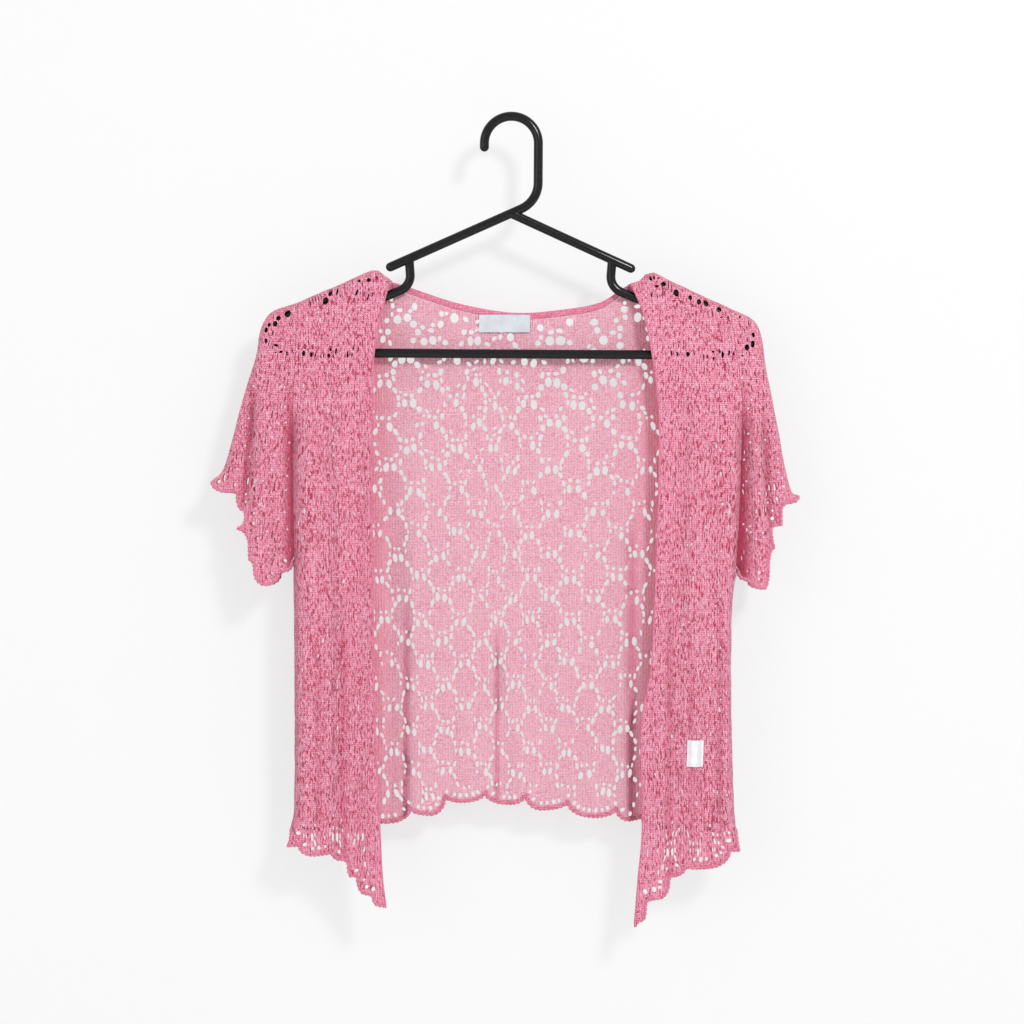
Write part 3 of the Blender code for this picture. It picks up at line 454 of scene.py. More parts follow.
def column_x(index, z):
    """Where a lace column of the back lies at the height z, in millimetres."""
    part = (z - COLUMN_UPPER_LEVEL) / (COLUMN_LOWER_LEVEL - COLUMN_UPPER_LEVEL)
    part = min(max(part, -0.35), 1.10)
    upper_x, lower_x = BACK_COLUMNS[index]
    return upper_x + (lower_x - upper_x) * part


def back_eyelets(outline, hem, rng):
    """The half-drop leaves of the back, wider apart and more open towards the neck."""
    last = len(BACK_COLUMNS) - 1
    specs, extra = [], []
    for index in range(len(BACK_COLUMNS)):
        before, after = max(index - 1, 0), min(index + 1, last)
        wander = rng.uniform(0.0, 2.0 * math.pi)
        for row in range(-2, 13):
            head = LEAF_TOP - LEAF_PERIOD_Z * (row + 0.5 * (index % 2))
            for eyelet in LEAF:
                z = head + eyelet.up + 1.5 * math.sin(0.045 * head + wander)
                narrow = (column_x(after, z) - column_x(before, z)) / (after - before)
                narrow /= LEAF_COLUMN_WIDTH
                stretch = float(ease((z + 360.0) / 170.0))
                covered = float(ease((abs(column_x(index, z)) - 105.0) / 12.0))
                stretch = stretch * (1.0 - covered) - 0.45 * covered
                airy = 0.30 * float(ease((z + 212.0) / 16.0)) * (1.0 - covered)
                for way in (-1.0, 1.0):
                    size = rng.uniform(0.80, 1.06)
                    across = way * eyelet.across * narrow + rng.normal(0.0, 0.45)
                    across += 1.0 * math.sin(0.07 * z + 2.0 * wander)
                    wide = eyelet.half_width * narrow * size * (1.0 + 0.34 * stretch + airy)
                    tall = eyelet.half_height * rng.uniform(0.84, 1.08) * (1.0 + 0.10 * stretch)
                    lean = math.radians(way * eyelet.lean + rng.normal(0.0, 9.0))
                    up = z + rng.normal(0.0, 0.75)
                    specs.append((column_x(index, z) + across, up, wide, tall, lean))
                    if rng.uniform() < 1.3 * stretch - 0.15:
                        beyond = across + way * rng.uniform(3.6, 5.2)
                        higher = up + rng.uniform(-1.0, 4.5)
                        leaned = lean + math.radians(rng.uniform(10.0, 45.0) * way)
                        further = column_x(index, z) + beyond
                        extra.append((further, higher, 0.72 * wide, 0.78 * tall, leaned))
    return placed_holes(specs + extra, outline, hem, gap=0.00055)


def placed_holes(specs, outline, hem, border=0.0016, gap=HOLE_GAP):
    """The charted holes that keep clear of the outline, of the hem and of each other."""
    spots = np.array([spec[:2] for spec in specs]) * MM
    edge = nearest_on(closed(outline), spots)[0]
    hem_away = nearest_on(hem, spots)[0]
    inside = contains(outline, spots)
    holes, centres, halves = [], np.zeros((0, 2)), np.zeros((0, 2))
    for spec, spot, near, low, within in zip(specs, spots, edge, hem_away, inside):
        if not within or near < spec[2] * MM + border or low < spec[3] * MM + HEM_BORDER:
            continue
        corners = 8 if spec[2] + spec[3] > 3.6 else 6
        hole = turned_left(ellipse(spot, spec[2] * MM, spec[3] * MM, spec[4], corners))
        half = half_size(hole)
        reach = (centres - spot) / (halves + half + gap)
        if (len(centres) and (reach**2).sum(1).min() < 1.0) or not contains(outline, hole).all():
            continue
        holes.append(hole)
        centres = np.concatenate((centres, spot[None]))
        halves = np.concatenate((halves, half[None]))
    return holes


def slot_holes(slots, outline, hem):
    specs = [(x, z, wide, tall, math.radians(lean)) for x, z, wide, tall, lean in slots]
    return placed_holes(specs, outline, hem, border=0.0006, gap=0.0004)


def seen_behind(points):
    """The points of a sleeve's back half that lie behind points of its front half, seen from the camera."""
    front = cloth_skin(-1, points, seam_outward=False)[0][:, 1]
    behind = cloth_skin(1, points, seam_outward=False)[0][:, 1]
    grown = (CAMERA_AWAY + behind) / (CAMERA_AWAY + front)
    return FRAME_CENTRE + (points - FRAME_CENTRE) * grown[:, None]


def pinholes(rows, layer, outline, hem):
    spots = metres(rows)
    radius = PINHOLE
    if layer > 0:
        spots = seen_behind(spots)
        radius = PINHOLE_BEHIND
    specs = [(x / MM, z / MM, radius, radius, 0.0) for x, z in spots]
    return placed_holes(specs, outline, hem, border=0.0006, gap=0.0004)


def slit_holes(outline, hem, rng, lean, column=4.3, row=10.5, share=0.8):
    """Narrow gaps between the ribs of the closed cloth, in uneven columns."""
    low, high = outline.min(0) / MM, outline.max(0) / MM
    middle = (low + high) / 2.0
    reach_x, reach_z = (high - low) / 2.0 + 12.0
    c, s = math.cos(lean), math.sin(lean)
    specs = []
    for across in np.arange(-reach_x, reach_x, column):
        phase = rng.uniform(0.0, row)
        for up in np.arange(-reach_z, reach_z, row):
            field = math.sin(across * 0.21 + 1.3 * math.sin(up * 0.031))
            field *= math.sin(up * 0.045 + across * 0.12)
            if rng.uniform() > share * (0.72 + 0.42 * field):
                continue
            x = across + rng.normal(0.0, 0.55)
            z = up + phase + rng.normal(0.0, 1.2)
            spot = (middle[0] + x * c - z * s, middle[1] + x * s + z * c)
            half_width = rng.uniform(*SLIT_HALF_WIDTH) * (1.0 + 0.25 * field)
            half_height = rng.uniform(1.5, 3.3)
            specs.append((*spot, half_width, half_height, lean + math.radians(rng.normal(0.0, 5.0))))
    return placed_holes(specs, outline, hem)


Lace = namedtuple("Lace", "period_x period_z origin_x origin_z turn squeeze open_top open_run patchy")


def lace_holes(outline, hem, lace, rng, plain_lines=()):
    """Eyelets of every leaf inside the outline, clear of its edges."""
    low, high = outline.min(0) / MM, outline.max(0) / MM
    centre = np.array((lace.origin_x, lace.origin_z))
    reach = np.linalg.norm(high - low)
    scale_x = lace.period_x / (2.0 * LEAF_COLUMN_WIDTH)
    scale_z = lace.period_z / LEAF_PERIOD_Z
    columns = int(reach / lace.period_x * 2.0) + 2
    rows = int(reach / lace.period_z) + 2
    c, s = math.cos(lace.turn), math.sin(lace.turn)
    specs = []
    for column in range(-columns, columns + 1):
        for row in range(-rows, rows + 1):
            x = column * lace.period_x / 2.0
            z = -row * lace.period_z - (column % 2) * lace.period_z / 2.0
            for eyelet in LEAF:
                for way in (-1.0, 1.0):
                    px = x + way * eyelet.across * scale_x + rng.normal(0.0, 0.28 * scale_x)
                    pz = z + eyelet.up * scale_z + rng.normal(0.0, 0.35)
                    size = rng.uniform(0.80, 1.14)
                    spot = (centre[0] + px * c - pz * s, centre[1] + px * s + pz * c)
                    half_width = eyelet.half_width * scale_x * size
                    half_height = eyelet.half_height * scale_z * rng.uniform(0.86, 1.10)
                    lean = math.radians(way * eyelet.lean * scale_x) + lace.turn
                    specs.append((*spot, half_width, half_height, lean))
    specs = np.array(specs)
    spots = specs[:, :2] * MM
    box = ((spots > outline.min(0)) & (spots < outline.max(0))).all(1)
    specs, spots = specs[box], spots[box]
    inside = contains(outline, spots)
    specs, spots = specs[inside], spots[inside]
    edge = nearest_on(closed(outline), spots)[0]
    hem_away = nearest_on(hem, spots)[0]
    plain = np.full(len(spots), 1.0)
    for line, width in plain_lines:
        plain = np.minimum(plain, nearest_on(line, spots)[0] / width)
    opened = ease((spots[:, 1] - lace.open_top * MM) / (lace.open_run * MM))
    near_hem = 1.0 - ease((hem_away - 0.010) / 0.030)
    open_share = np.maximum(opened, 0.85 * near_hem)
    squeeze = lace.squeeze + (1.0 - lace.squeeze) * open_share
    wave = np.sin(spots[:, 0] * 310.0 + 3.0 * np.sin(spots[:, 1] * 23.0))
    wave = wave * np.sin(spots[:, 1] * 61.0 + 1.7 * np.sin(spots[:, 0] * 97.0))
    patchy = 1.0 - lace.patchy * (0.5 - 0.5 * wave) * (1.0 - open_share)
    holes = []
    for spec, near, border, low, thin, size in zip(specs, edge, plain, hem_away, squeeze, patchy):
        half_width = spec[2] * thin * size
        half_height = spec[3] * (0.75 + 0.25 * size)
        if near < half_width * MM + 0.0022 or low < half_height * MM + HEM_BORDER:
            continue
        if border < 1.0 and rng.uniform() > 0.35 * border:
            continue
        if half_width < 0.34:
            continue
        corners = 8 if half_width > 1.7 else 6
        hole = ellipse(spec[:2] * MM, half_width * MM, half_height * MM, spec[4], corners)
        holes.append(turned_left(hole))
    return holes


def hem_eyelets(hem, outline, rng, uneven=0.0):
    """A row of small holes that follows the scalloped border, some of them missing where uneven."""
    run = run_along(hem)
    holes = []
    spot = HEM_EYELET_SPACING / 2.0
    while spot < run[-1]:
        index = min(int(np.searchsorted(run, spot)), len(hem) - 1)
        before, after = hem[max(index - 3, 0)], hem[min(index + 2, len(hem) - 1)]
        along = (after - before) / max(np.linalg.norm(after - before), 1e-9)
        across = np.array((-along[1], along[0]))
        share = (spot - run[index - 1]) / max(run[index] - run[index - 1], 1e-9)
        foot = hem[index - 1] + (hem[index] - hem[index - 1]) * share
        missing = rng.uniform() < 0.45 * uneven
        deeper = HEM_EYELET_INSET + uneven * rng.uniform(0.0, 0.0030)
        for way in (1.0, -1.0):
            centre = foot + across * way * deeper
            if contains(outline, centre[None])[0] and not missing:
                size = rng.uniform(0.82 - 0.30 * uneven, 1.12 + 0.20 * uneven)
                size = HEM_EYELET_RADIUS * size
                lean = math.atan2(across[1], across[0]) + math.pi / 2.0
                hole = turned_left(ellipse(centre, size * 0.85, size * 1.15, lean, 7))
                clear = nearest_on(closed(outline), hole)[0].min() > 0.0016
                apart = all(np.linalg.norm(hole.mean(0) - other.mean(0)) > 0.0044 for other in holes)
                if clear and apart and contains(outline, hole).all():
                    holes.append(hole)
                break
        spot += HEM_EYELET_SPACING
    return holes


def half_size(hole):
    return (hole.max(0) - hole.min(0)) / 2.0


def drop_near(holes, others, gap=HOLE_GAP):
    """The holes that keep clear of all the others, as ellipses of their own sizes."""
    if not others:
        return holes
    centres = np.array([other.mean(0) for other in others])
    halves = np.array([half_size(other) for other in others])
    kept = []
    for hole in holes:
        reach = (centres - hole.mean(0)) / (halves + half_size(hole) + gap)
        if ((reach**2).sum(1) > 1.0).all():
            kept.append(hole)
    return kept


def grid_points(outline, step_x, step_z, rng, holes, margin):
    """Points inside the outline, a little uneven, clear of the edge and the holes."""
    low, high = outline.min(0), outline.max(0)
    xs = np.arange(low[0], high[0], step_x)
    zs = np.arange(low[1], high[1], step_z)
    grid = np.stack(np.meshgrid(xs, zs), -1).reshape(-1, 2)
    grid[:, 0] += (np.round((grid[:, 1] - low[1]) / step_z) % 2) * step_x / 2.0
    grid += rng.uniform(-0.15, 0.15, grid.shape) * (step_x, step_z)
    grid = grid[contains(outline, grid)]
    grid = grid[nearest_on(closed(outline), grid)[0] > margin]
    if holes:
        centres = np.array([hole.mean(0) for hole in holes])
        sizes = np.array([np.abs(hole - hole.mean(0)).max() for hole in holes])
        keep = np.ones(len(grid), bool)
        for middle, size in zip(centres, sizes):
            keep &= np.linalg.norm(grid - middle, axis=1) > size + margin
        grid = grid[keep]
    return grid


def round_rows(line, radius):
    """Points beside a rounded silhouette, at even turns of its curve."""
    rows = []
    along = np.diff(line, axis=0)
    along /= np.linalg.norm(along, axis=1)[:, None]
    inward = np.stack((along[:, 1], -along[:, 0]), 1)
    wrong = (inward[:, 0] * line[:-1, 0] > 0.0) | (inward[:, 1] > 0.5)
    inward[wrong] *= -1.0
    middle = (line[:-1] + line[1:]) / 2.0
    for turn in (20.0, 40.0, 60.0, 78.0, 96.0):
        rows.append(middle + inward * radius * (1.0 - math.cos(math.radians(turn))))
    return np.concatenate(rows)


def add_mesh(name, verts, faces, material, smooth_angle=50.0):
    mesh = bpy.data.meshes.new(name)
    mesh.from_pydata([tuple(v) for v in verts], [], faces)
    mesh.validate()
    bm = bmesh.new()
    bm.from_mesh(mesh)
    bmesh.ops.recalc_face_normals(bm, faces=bm.faces)
    bm.to_mesh(mesh)
    bm.free()
    mesh.shade_smooth()
    mesh.set_sharp_from_angle(angle=math.radians(smooth_angle))
    mesh.materials.append(material)
    item = bpy.data.objects.new(name, mesh)
    bpy.context.scene.collection.objects.link(item)
    return item


def lace_wall(name, outline, holes, spare, skin, material, relief):
    """A closed thin wall over the skin, cut through at every hole."""
    points = [outline] + holes + [spare]
    loops, count = [], 0
    for polygon in [outline] + holes:
        loops.append(list(range(count, count + len(polygon))))
        count += len(polygon)
    flat = [Vector(p) for p in np.concatenate(points)]
    found, _, triangles, _, _, sources = delaunay_2d_cdt(flat, [], loops, 1, 1e-8, True)
    kept = [tri for tri, source in zip(triangles, sources) if list(source) == [0]]
    used = sorted({corner for tri in kept for corner in tri})
    place = {corner: index for index, corner in enumerate(used)}
    spots = np.array([found[corner][:] for corner in used])
    inner, normal = skin(spots)
    height = relief(spots)[:, None]
    low = inner + normal * (SKIN_LIFT + height)
    high = low + normal * THIN_WALL
    total = len(used)
    faces, borders = [], {}
    for tri in kept:
        a, b, c = (place[corner] for corner in tri)
        faces.append((a + total, b + total, c + total))
        faces.append((c, b, a))
        for start, end in ((a, b), (b, c), (c, a)):
            if (end, start) in borders:
                del borders[(end, start)]
            else:
                borders[(start, end)] = True
    for start, end in borders:
        faces.append((start, end, end + total, start + total))
    return add_mesh(name, np.concatenate((low, high)), faces, material)


def leaf_relief(lace, height):
    """Soft puckers of the leaves: proud in the middle of each, sunk along its eyelets."""

    def relief(points):
        x = points[:, 0] / MM - lace.origin_x
        z = points[:, 1] / MM - lace.origin_z
        c, s = math.cos(-lace.turn), math.sin(-lace.turn)
        u = (x * c - z * s) / lace.period_x
        v = (x * s + z * c) / lace.period_z + 0.42
        return height * np.cos(2.0 * math.pi * u) * np.cos(2.0 * math.pi * v)

    return relief


def back_relief(points):
    """The same puckers on the back's uneven columns."""
    height = np.zeros(len(points))
    z = points[:, 1] / MM
    part = np.clip((z - COLUMN_UPPER_LEVEL) / (COLUMN_LOWER_LEVEL - COLUMN_UPPER_LEVEL), -0.35, 1.10)
    columns = np.array(BACK_COLUMNS)
    lines = columns[:, :1] + (columns[:, 1:] - columns[:, :1]) * part
    for index in range(len(BACK_COLUMNS)):
        near = np.abs(points[:, 0] / MM - lines[index])
        phase = (z - LEAF_TOP) / LEAF_PERIOD_Z + 0.5 * (index % 2) + 0.45
        height += 0.00035 * np.exp(-((near / 9.0) ** 2)) * np.cos(2.0 * math.pi * phase)
    return height


def run_along(line):
    return np.concatenate(((0.0,), np.cumsum(np.linalg.norm(np.diff(line, axis=0), axis=1))))


def directions(line):
    along = np.gradient(line, axis=0)
    return along / np.maximum(np.linalg.norm(along, axis=1), 1e-9)[:, None]


def tube_faces(rings, sides):
    """The faces of a tube with closed ends, ring after ring."""
    faces = []
    for ring in range(rings - 1):
        base, above = ring * sides, (ring + 1) * sides
        for side in range(sides):
            after = (side + 1) % sides
            faces.append((base + side, base + after, above + after, above + side))
    faces.append(tuple(range(sides)))
    faces.append(tuple(range((rings - 1) * sides, rings * sides)))
    return faces


def swept_cord(name, path, radius, material, bump):
    """A closed round cord along a path, with knitted bumps."""
    steps = np.linalg.norm(np.diff(path, axis=0), axis=1)
    path = path[np.concatenate(((True,), steps > 1e-5))]
    run = run_along(path)
    count = max(8, int(run[-1] / CORD_RING_STEP))
    even = np.linspace(0.0, run[-1], count)
    path = np.stack([np.interp(even, run, path[:, axis]) for axis in range(3)], 1)
    outward = np.array((0.0, -1.0, 0.0))
    verts = []
    for index, (centre, along) in enumerate(zip(path, directions(path))):
        first = outward - along * (outward @ along)
        first /= np.linalg.norm(first)
        second = np.cross(along, first)
        swell = 1.0 + bump * math.sin(2.0 * math.pi * even[index] / CORD_BUMP_STEP)
        taper = min(1.0, 0.45 + min(index, count - 1 - index) * 0.2)
        for side in range(CORD_SIDES):
            turn = 2.0 * math.pi * side / CORD_SIDES
            spoke = first * math.cos(turn) + second * math.sin(turn)
            verts.append(centre + spoke * radius * swell * taper)
    return add_mesh(name, verts, tube_faces(count, CORD_SIDES), material, smooth_angle=80.0)


def edge_path(line, layer, inset, seam_outward=True):
    """The middle of the cloth along an outline, moved in by the inset."""
    along = directions(line)
    inward = np.stack((-along[:, 1], along[:, 0]), 1) * inset
    inner, normal = cloth_skin(layer, line + inward, seam_outward)
    return inner + normal * WALL / 2.0


# Finishes


def new_material(name):
    """A new material, its tree, its shader and the place on the object."""
    material = bpy.data.materials.new(name)
    material.use_nodes = True
    material.cycles.emission_sampling = "NONE"
    tree = material.node_tree
    place = tree.nodes.new("ShaderNodeTexCoord").outputs["Object"]
    return material, tree, tree.nodes["Principled BSDF"], place


def set_input(tree, socket, value):
    """Joins a socket to the input, or sets it to a number or a colour."""
    if isinstance(value, tuple):
        socket.default_value = (*value, 1.0)
    elif isinstance(value, (int, float)):
        socket.default_value = value
    elif value is not None:
        tree.links.new(value, socket)


def math_node(tree, operation, first, second=None):
    node = tree.nodes.new("ShaderNodeMath")
    node.operation = operation
    set_input(tree, node.inputs[0], first)
    set_input(tree, node.inputs[1], second)
    return node.outputs[0]


def times(tree, first, second):
    return math_node(tree, "MULTIPLY", first, second)


def plus(tree, first, second):
    return math_node(tree, "ADD", first, second)


def off_line(tree, value, line):
    """How far the value lies from the line, either way."""
    return math_node(tree, "ABSOLUTE", math_node(tree, "SUBTRACT", value, line))


def split_axes(tree, vector):
    node = tree.nodes.new("ShaderNodeSeparateXYZ")
    tree.links.new(vector, node.inputs[0])
    return node.outputs


def noise(tree, vector, scale, detail=3.0, roughness=0.5):
    node = tree.nodes.new("ShaderNodeTexNoise")
    node.inputs["Scale"].default_value = scale
    node.inputs["Detail"].default_value = detail
    node.inputs["Roughness"].default_value = roughness
    tree.links.new(vector, node.inputs["Vector"])
    return node.outputs["Fac"]


def stretched(tree, vector, scale):
    node = tree.nodes.new("ShaderNodeMapping")
    node.inputs["Scale"].default_value = scale
    tree.links.new(vector, node.inputs["Vector"])
    return node.outputs["Vector"]


def mix_colour(tree, factor, first, second):
    node = tree.nodes.new("ShaderNodeMix")
    node.data_type = "RGBA"
    for socket, value in (("Factor", factor), ("A", first), ("B", second)):
        set_input(tree, node.inputs[socket], value)
    return node.outputs["Result"]


def ramp(tree, value, low, high):
    node = tree.nodes.new("ShaderNodeMapRange")
    node.inputs["From Min"].default_value = low
    node.inputs["From Max"].default_value = high
    node.clamp = True
    tree.links.new(value, node.inputs["Value"])
    return node.outputs["Result"]


def add_bump(tree, shader, height, strength, distance):
    bump = tree.nodes.new("ShaderNodeBump")
    bump.inputs["Strength"].default_value = strength
    bump.inputs["Distance"].default_value = distance
    tree.links.new(height, bump.inputs["Height"])
    tree.links.new(bump.outputs["Normal"], shader.inputs["Normal"])


def blend_surface(tree, amount, first, second):
    """The material's surface as a mix of two shaders."""
    blend = tree.nodes.new("ShaderNodeMixShader")
    set_input(tree, blend.inputs[0], amount)
    tree.links.new(first.outputs[0], blend.inputs[1])
    tree.links.new(second.outputs[0], blend.inputs[2])
    tree.links.new(blend.outputs[0], tree.nodes["Material Output"].inputs["Surface"])


# Each yarn has one dark crimson colour that all its painted shade is mixed towards
Yarn = namedtuple("Yarn", "colour pale deep column row grain dashes specks flecks glow inner drawn tints")

# A reddish painted shade along a crease: its line x + slope * (z - top), its ends, half width and strength
Tint = namedtuple("Tint", "x slope top bottom width strength")

# The fronts cover the back beyond this middle; there its inner face gets painted shade and a painted
# reddish glow for the light that comes through them
COVERED_MIDDLE = 0.002
# Band beside the fronts' edges where their shadow is painted on the back, and its painted glow
BESIDE_FRONTS = (0.094, 0.124)
BESIDE_GLOW = (0.45, 0.16, 0.18)
# Middle for the painted shade on the sleeves along their armholes
SEAM_MIDDLE = 0.0048
# Painted reddish glow of the covered inner face
INNER_GLOW = (0.26, 0.012, 0.050)
BLACK = (0.0, 0.0, 0.0)
# Colour of the painted light specks
SPARKLE = (1.0, 0.86, 0.90)
LILAC = (0.72, 0.42, 0.72)
PEACH = (0.92, 0.52, 0.36)


def yarn_material(name, yarn):
    """Knitted yarn: looped stitches in ribs and rows, uneven in colour, a little see-through, with painted
    shade in its hollows, gaps and creases, painted light specks and, where covered, a painted glow.
    """
    material, tree, shader, place = new_material(name)
    axes = split_axes(tree, place)
    shift = times(tree, noise(tree, place, 240.0, 2.0), 5.0)
    ribs = math_node(tree, "SINE", plus(tree, times(tree, axes["X"], 2.0 * math.pi / yarn.column), shift))
    up = times(tree, axes["Z"], 2.0 * math.pi / yarn.row)
    bent = plus(tree, up, times(tree, ribs, 1.5))
    loops = math_node(tree, "SINE", plus(tree, bent, shift))
    stitch = plus(tree, times(tree, ribs, 0.45), times(tree, loops, 0.55))
    streak = noise(tree, stretched(tree, place, yarn.grain), 720.0, 3.0, 0.6)
    patch = noise(tree, place, 38.0, 3.0)
    fine = noise(tree, place, 1250.0, 2.0, 0.6)
    base = mix_colour(tree, ramp(tree, streak, 0.38, 0.64), yarn.colour, yarn.pale)
    base = mix_colour(tree, times(tree, ramp(tree, patch, 0.35, 0.75), 0.30), base, yarn.pale)
    # Painted shade: darker in the hollows between the loops, where the stitch bump is low
    base = mix_colour(tree, times(tree, ramp(tree, stitch, 0.0, -0.75), 0.50), base, yarn.deep)
    # Painted shade: narrow dark dashes for the shaded gaps between the ribs
    narrow = (yarn.grain[0], yarn.grain[1], yarn.grain[2] * 0.66)
    slit = noise(tree, stretched(tree, place, narrow), 820.0, 2.0, 0.5)
    base = mix_colour(tree, times(tree, ramp(tree, slit, 0.46, 0.39), yarn.dashes), base, yarn.deep)
    # Painted light: pale specks where light shows through gaps too small to model
    light = tuple(0.35 * c + 0.65 * w for c, w in zip(yarn.pale, SPARKLE))
    base = mix_colour(tree, times(tree, ramp(tree, fine, 0.55, 0.68), yarn.specks), base, light)
    if yarn.flecks > 0.0:
        lilac = noise(tree, place, 420.0, 2.0)
        base = mix_colour(tree, times(tree, ramp(tree, lilac, 0.56, 0.70), yarn.flecks), base, LILAC)
        warm = noise(tree, stretched(tree, place, (1.0, 1.3, 1.1)), 390.0, 2.0)
        base = mix_colour(tree, times(tree, ramp(tree, warm, 0.56, 0.70), yarn.flecks), base, PEACH)
    # Painted shade and a painted reddish glow on the inner face where the fronts cover it and beside their
    # edges, for the fronts' shadow and the light that comes through them
    if yarn.inner:
        facing = split_axes(tree, tree.nodes["Texture Coordinate"].outputs["Normal"])
        away = off_line(tree, axes["X"], COVERED_MIDDLE)
        inward = ramp(tree, facing["Y"], -0.2, -0.6)
        shade = times(tree, ramp(tree, away, *yarn.inner), inward)
        front_shadow = times(tree, times(tree, ramp(tree, away, *BESIDE_FRONTS), inward), 0.42)
        base = mix_colour(tree, front_shadow, base, yarn.deep)
        base = mix_colour(tree, times(tree, shade, 0.65), base, yarn.deep)
        painted_glow = mix_colour(tree, front_shadow, mix_colour(tree, shade, BLACK, INNER_GLOW), BESIDE_GLOW)
        tree.links.new(painted_glow, shader.inputs["Emission Color"])
        shader.inputs["Emission Strength"].default_value = 1.0
    # Painted shade along the creases
    for crease_shade in yarn.tints:
        below = math_node(tree, "SUBTRACT", axes["Z"], crease_shade.top)
        line = plus(tree, times(tree, below, crease_shade.slope), crease_shade.x)
        away = off_line(tree, axes["X"], line)
        amount = times(tree, ramp(tree, away, crease_shade.width, 0.2 * crease_shade.width), crease_shade.strength)
        amount = times(tree, amount, ramp(tree, below, 0.0, -0.05))
        end = ramp(tree, axes["Z"], crease_shade.bottom, crease_shade.bottom + 0.02)
        base = mix_colour(tree, times(tree, amount, end), base, yarn.deep)
    # Painted shade on the sleeve along the armhole, where it sinks behind the body
    if yarn.drawn:
        away = off_line(tree, axes["X"], SEAM_MIDDLE)
        drawn = times(tree, ramp(tree, away, 0.2010, 0.1925), yarn.drawn)
        drawn = times(tree, drawn, ramp(tree, axes["Z"], -0.215, -0.27))
        base = mix_colour(tree, drawn, base, yarn.deep)
    tree.links.new(base, shader.inputs["Base Color"])
    shader.inputs["Roughness"].default_value = 0.75
    shader.inputs["Sheen Weight"].default_value = 0.20
    shader.inputs["Sheen Roughness"].default_value = 0.5
    shader.inputs["Specular IOR Level"].default_value = 0.3
    add_bump(tree, shader, plus(tree, stitch, times(tree, fine, 1.6)), 0.9, 0.0007)
    through = tree.nodes.new("ShaderNodeBsdfTranslucent")
    tree.links.new(base, through.inputs["Color"])
    blend_surface(tree, yarn.glow, shader, through)
    return material


def label_material(name, low, high):
    """White satin tape with a fine weave, between two shades."""
    material, tree, shader, place = new_material(name)
    axes = split_axes(tree, place)
    warp = math_node(tree, "SINE", times(tree, axes["X"], 9000.0))
    weft = math_node(tree, "SINE", times(tree, axes["Z"], 7000.0))
    soil = noise(tree, place, 160.0, 3.0)
    tree.links.new(mix_colour(tree, ramp(tree, soil, 0.35, 0.7), low, high), shader.inputs["Base Color"])
    shader.inputs["Roughness"].default_value = 0.48
    shader.inputs["Sheen Weight"].default_value = 0.15
    add_bump(tree, shader, plus(tree, warp, weft), 0.25, 0.0001)
    return material


def plastic_material():
    """Black moulded plastic: glossy, with faint flow marks and handling scuffs."""
    material, tree, shader, place = new_material("black_plastic")
    scuff = noise(tree, place, 300.0, 4.0, 0.6)
    flow = noise(tree, place, 45.0, 2.0)
    base = mix_colour(tree, ramp(tree, scuff, 0.45, 0.8), (0.003, 0.003, 0.0035), (0.008, 0.008, 0.009))
    tree.links.new(base, shader.inputs["Base Color"])
    shader.inputs["Specular IOR Level"].default_value = 0.22
    tree.links.new(plus(tree, times(tree, scuff, 0.12), 0.10), shader.inputs["Roughness"])
    add_bump(tree, shader, flow, 0.18, 0.0004)
    return material


# How the yarn's streaks are stretched, and its kinds
UPRIGHT = (1.0, 1.0, 0.44)
GRANULAR = (1.0, 1.0, 0.60)
LEVEL = (0.70, 1.0, 1.25)

RED = Yarn(
    colour=(0.81, 0.160, 0.295),
    pale=(0.94, 0.50, 0.65),
    deep=(0.48, 0.010, 0.075),
    column=0.0022,
    row=0.0018,
    grain=UPRIGHT,
    dashes=0.95,
    specks=0.68,
    flecks=0.0,
    glow=0.30,
    inner=(),
    drawn=0.0,
    tints=(
        Tint(-0.1430, 0.0, -0.400, -0.670, 0.0060, 0.35),
        Tint(-0.1640, 0.0, -0.420, -0.615, 0.0040, 0.25),
        Tint(0.1340, 0.0, -0.380, -0.670, 0.0050, 0.30),
        Tint(0.1530, 0.0, -0.420, -0.635, 0.0040, 0.25),
        Tint(0.1770, 0.0, -0.400, -0.615, 0.0040, 0.25),
    ),
)
front_yarn = yarn_material("front_yarn_knit", RED)
SLEEVE = RED._replace(
    column=0.0021,
    row=0.0019,
    grain=GRANULAR,
    dashes=0.80,
    specks=0.65,
    drawn=0.90,
    tints=(
        Tint(-0.2180, 0.087, -0.205, -0.340, 0.0045, 0.60),
        Tint(0.2140, -0.055, -0.225, -0.360, 0.0040, 0.45),
    ),
)
sleeve_yarn = yarn_material("sleeve_yarn_knit", SLEEVE)
sleeve_inner_yarn = yarn_material("sleeve_inner_yarn_knit", SLEEVE._replace(inner=(0.10, 0.11)))
# The back's yarn is painted paler than the fronts' for the light that shows through its fine mesh
back_yarn = yarn_material(
    "back_yarn_knit",
    Yarn(
        colour=(0.81, 0.345, 0.47),
        pale=(0.92, 0.63, 0.72),
        deep=(0.70, 0.12, 0.235),
        column=0.0024,
        row=0.0014,
        grain=LEVEL,
        dashes=0.34,
        specks=0.95,
        flecks=0.30,
        glow=0.30,
        inner=(0.117, 0.148),
        drawn=0.0,
        tints=(
            Tint(-0.0905, 0.0, -0.400, -0.615, 0.0045, 0.50),
            Tint(-0.0125, 0.0, -0.420, -0.600, 0.0035, 0.45),
            Tint(0.1035, 0.0, -0.320, -0.615, 0.0060, 0.45),
        ),
    ),
)
edge_yarn = yarn_material(
    "edge_yarn_knit",
    RED._replace(
        colour=(0.76, 0.145, 0.28),
        pale=(0.90, 0.33, 0.48),
        deep=(0.48, 0.025, 0.10),
        column=0.0017,
        row=0.0017,
        grain=GRANULAR,
        dashes=0.30,
        specks=0.35,
        glow=0.20,
        tints=(),
    ),
)
tape = label_material("satin_tape", (0.34, 0.365, 0.395), (0.41, 0.435, 0.465))
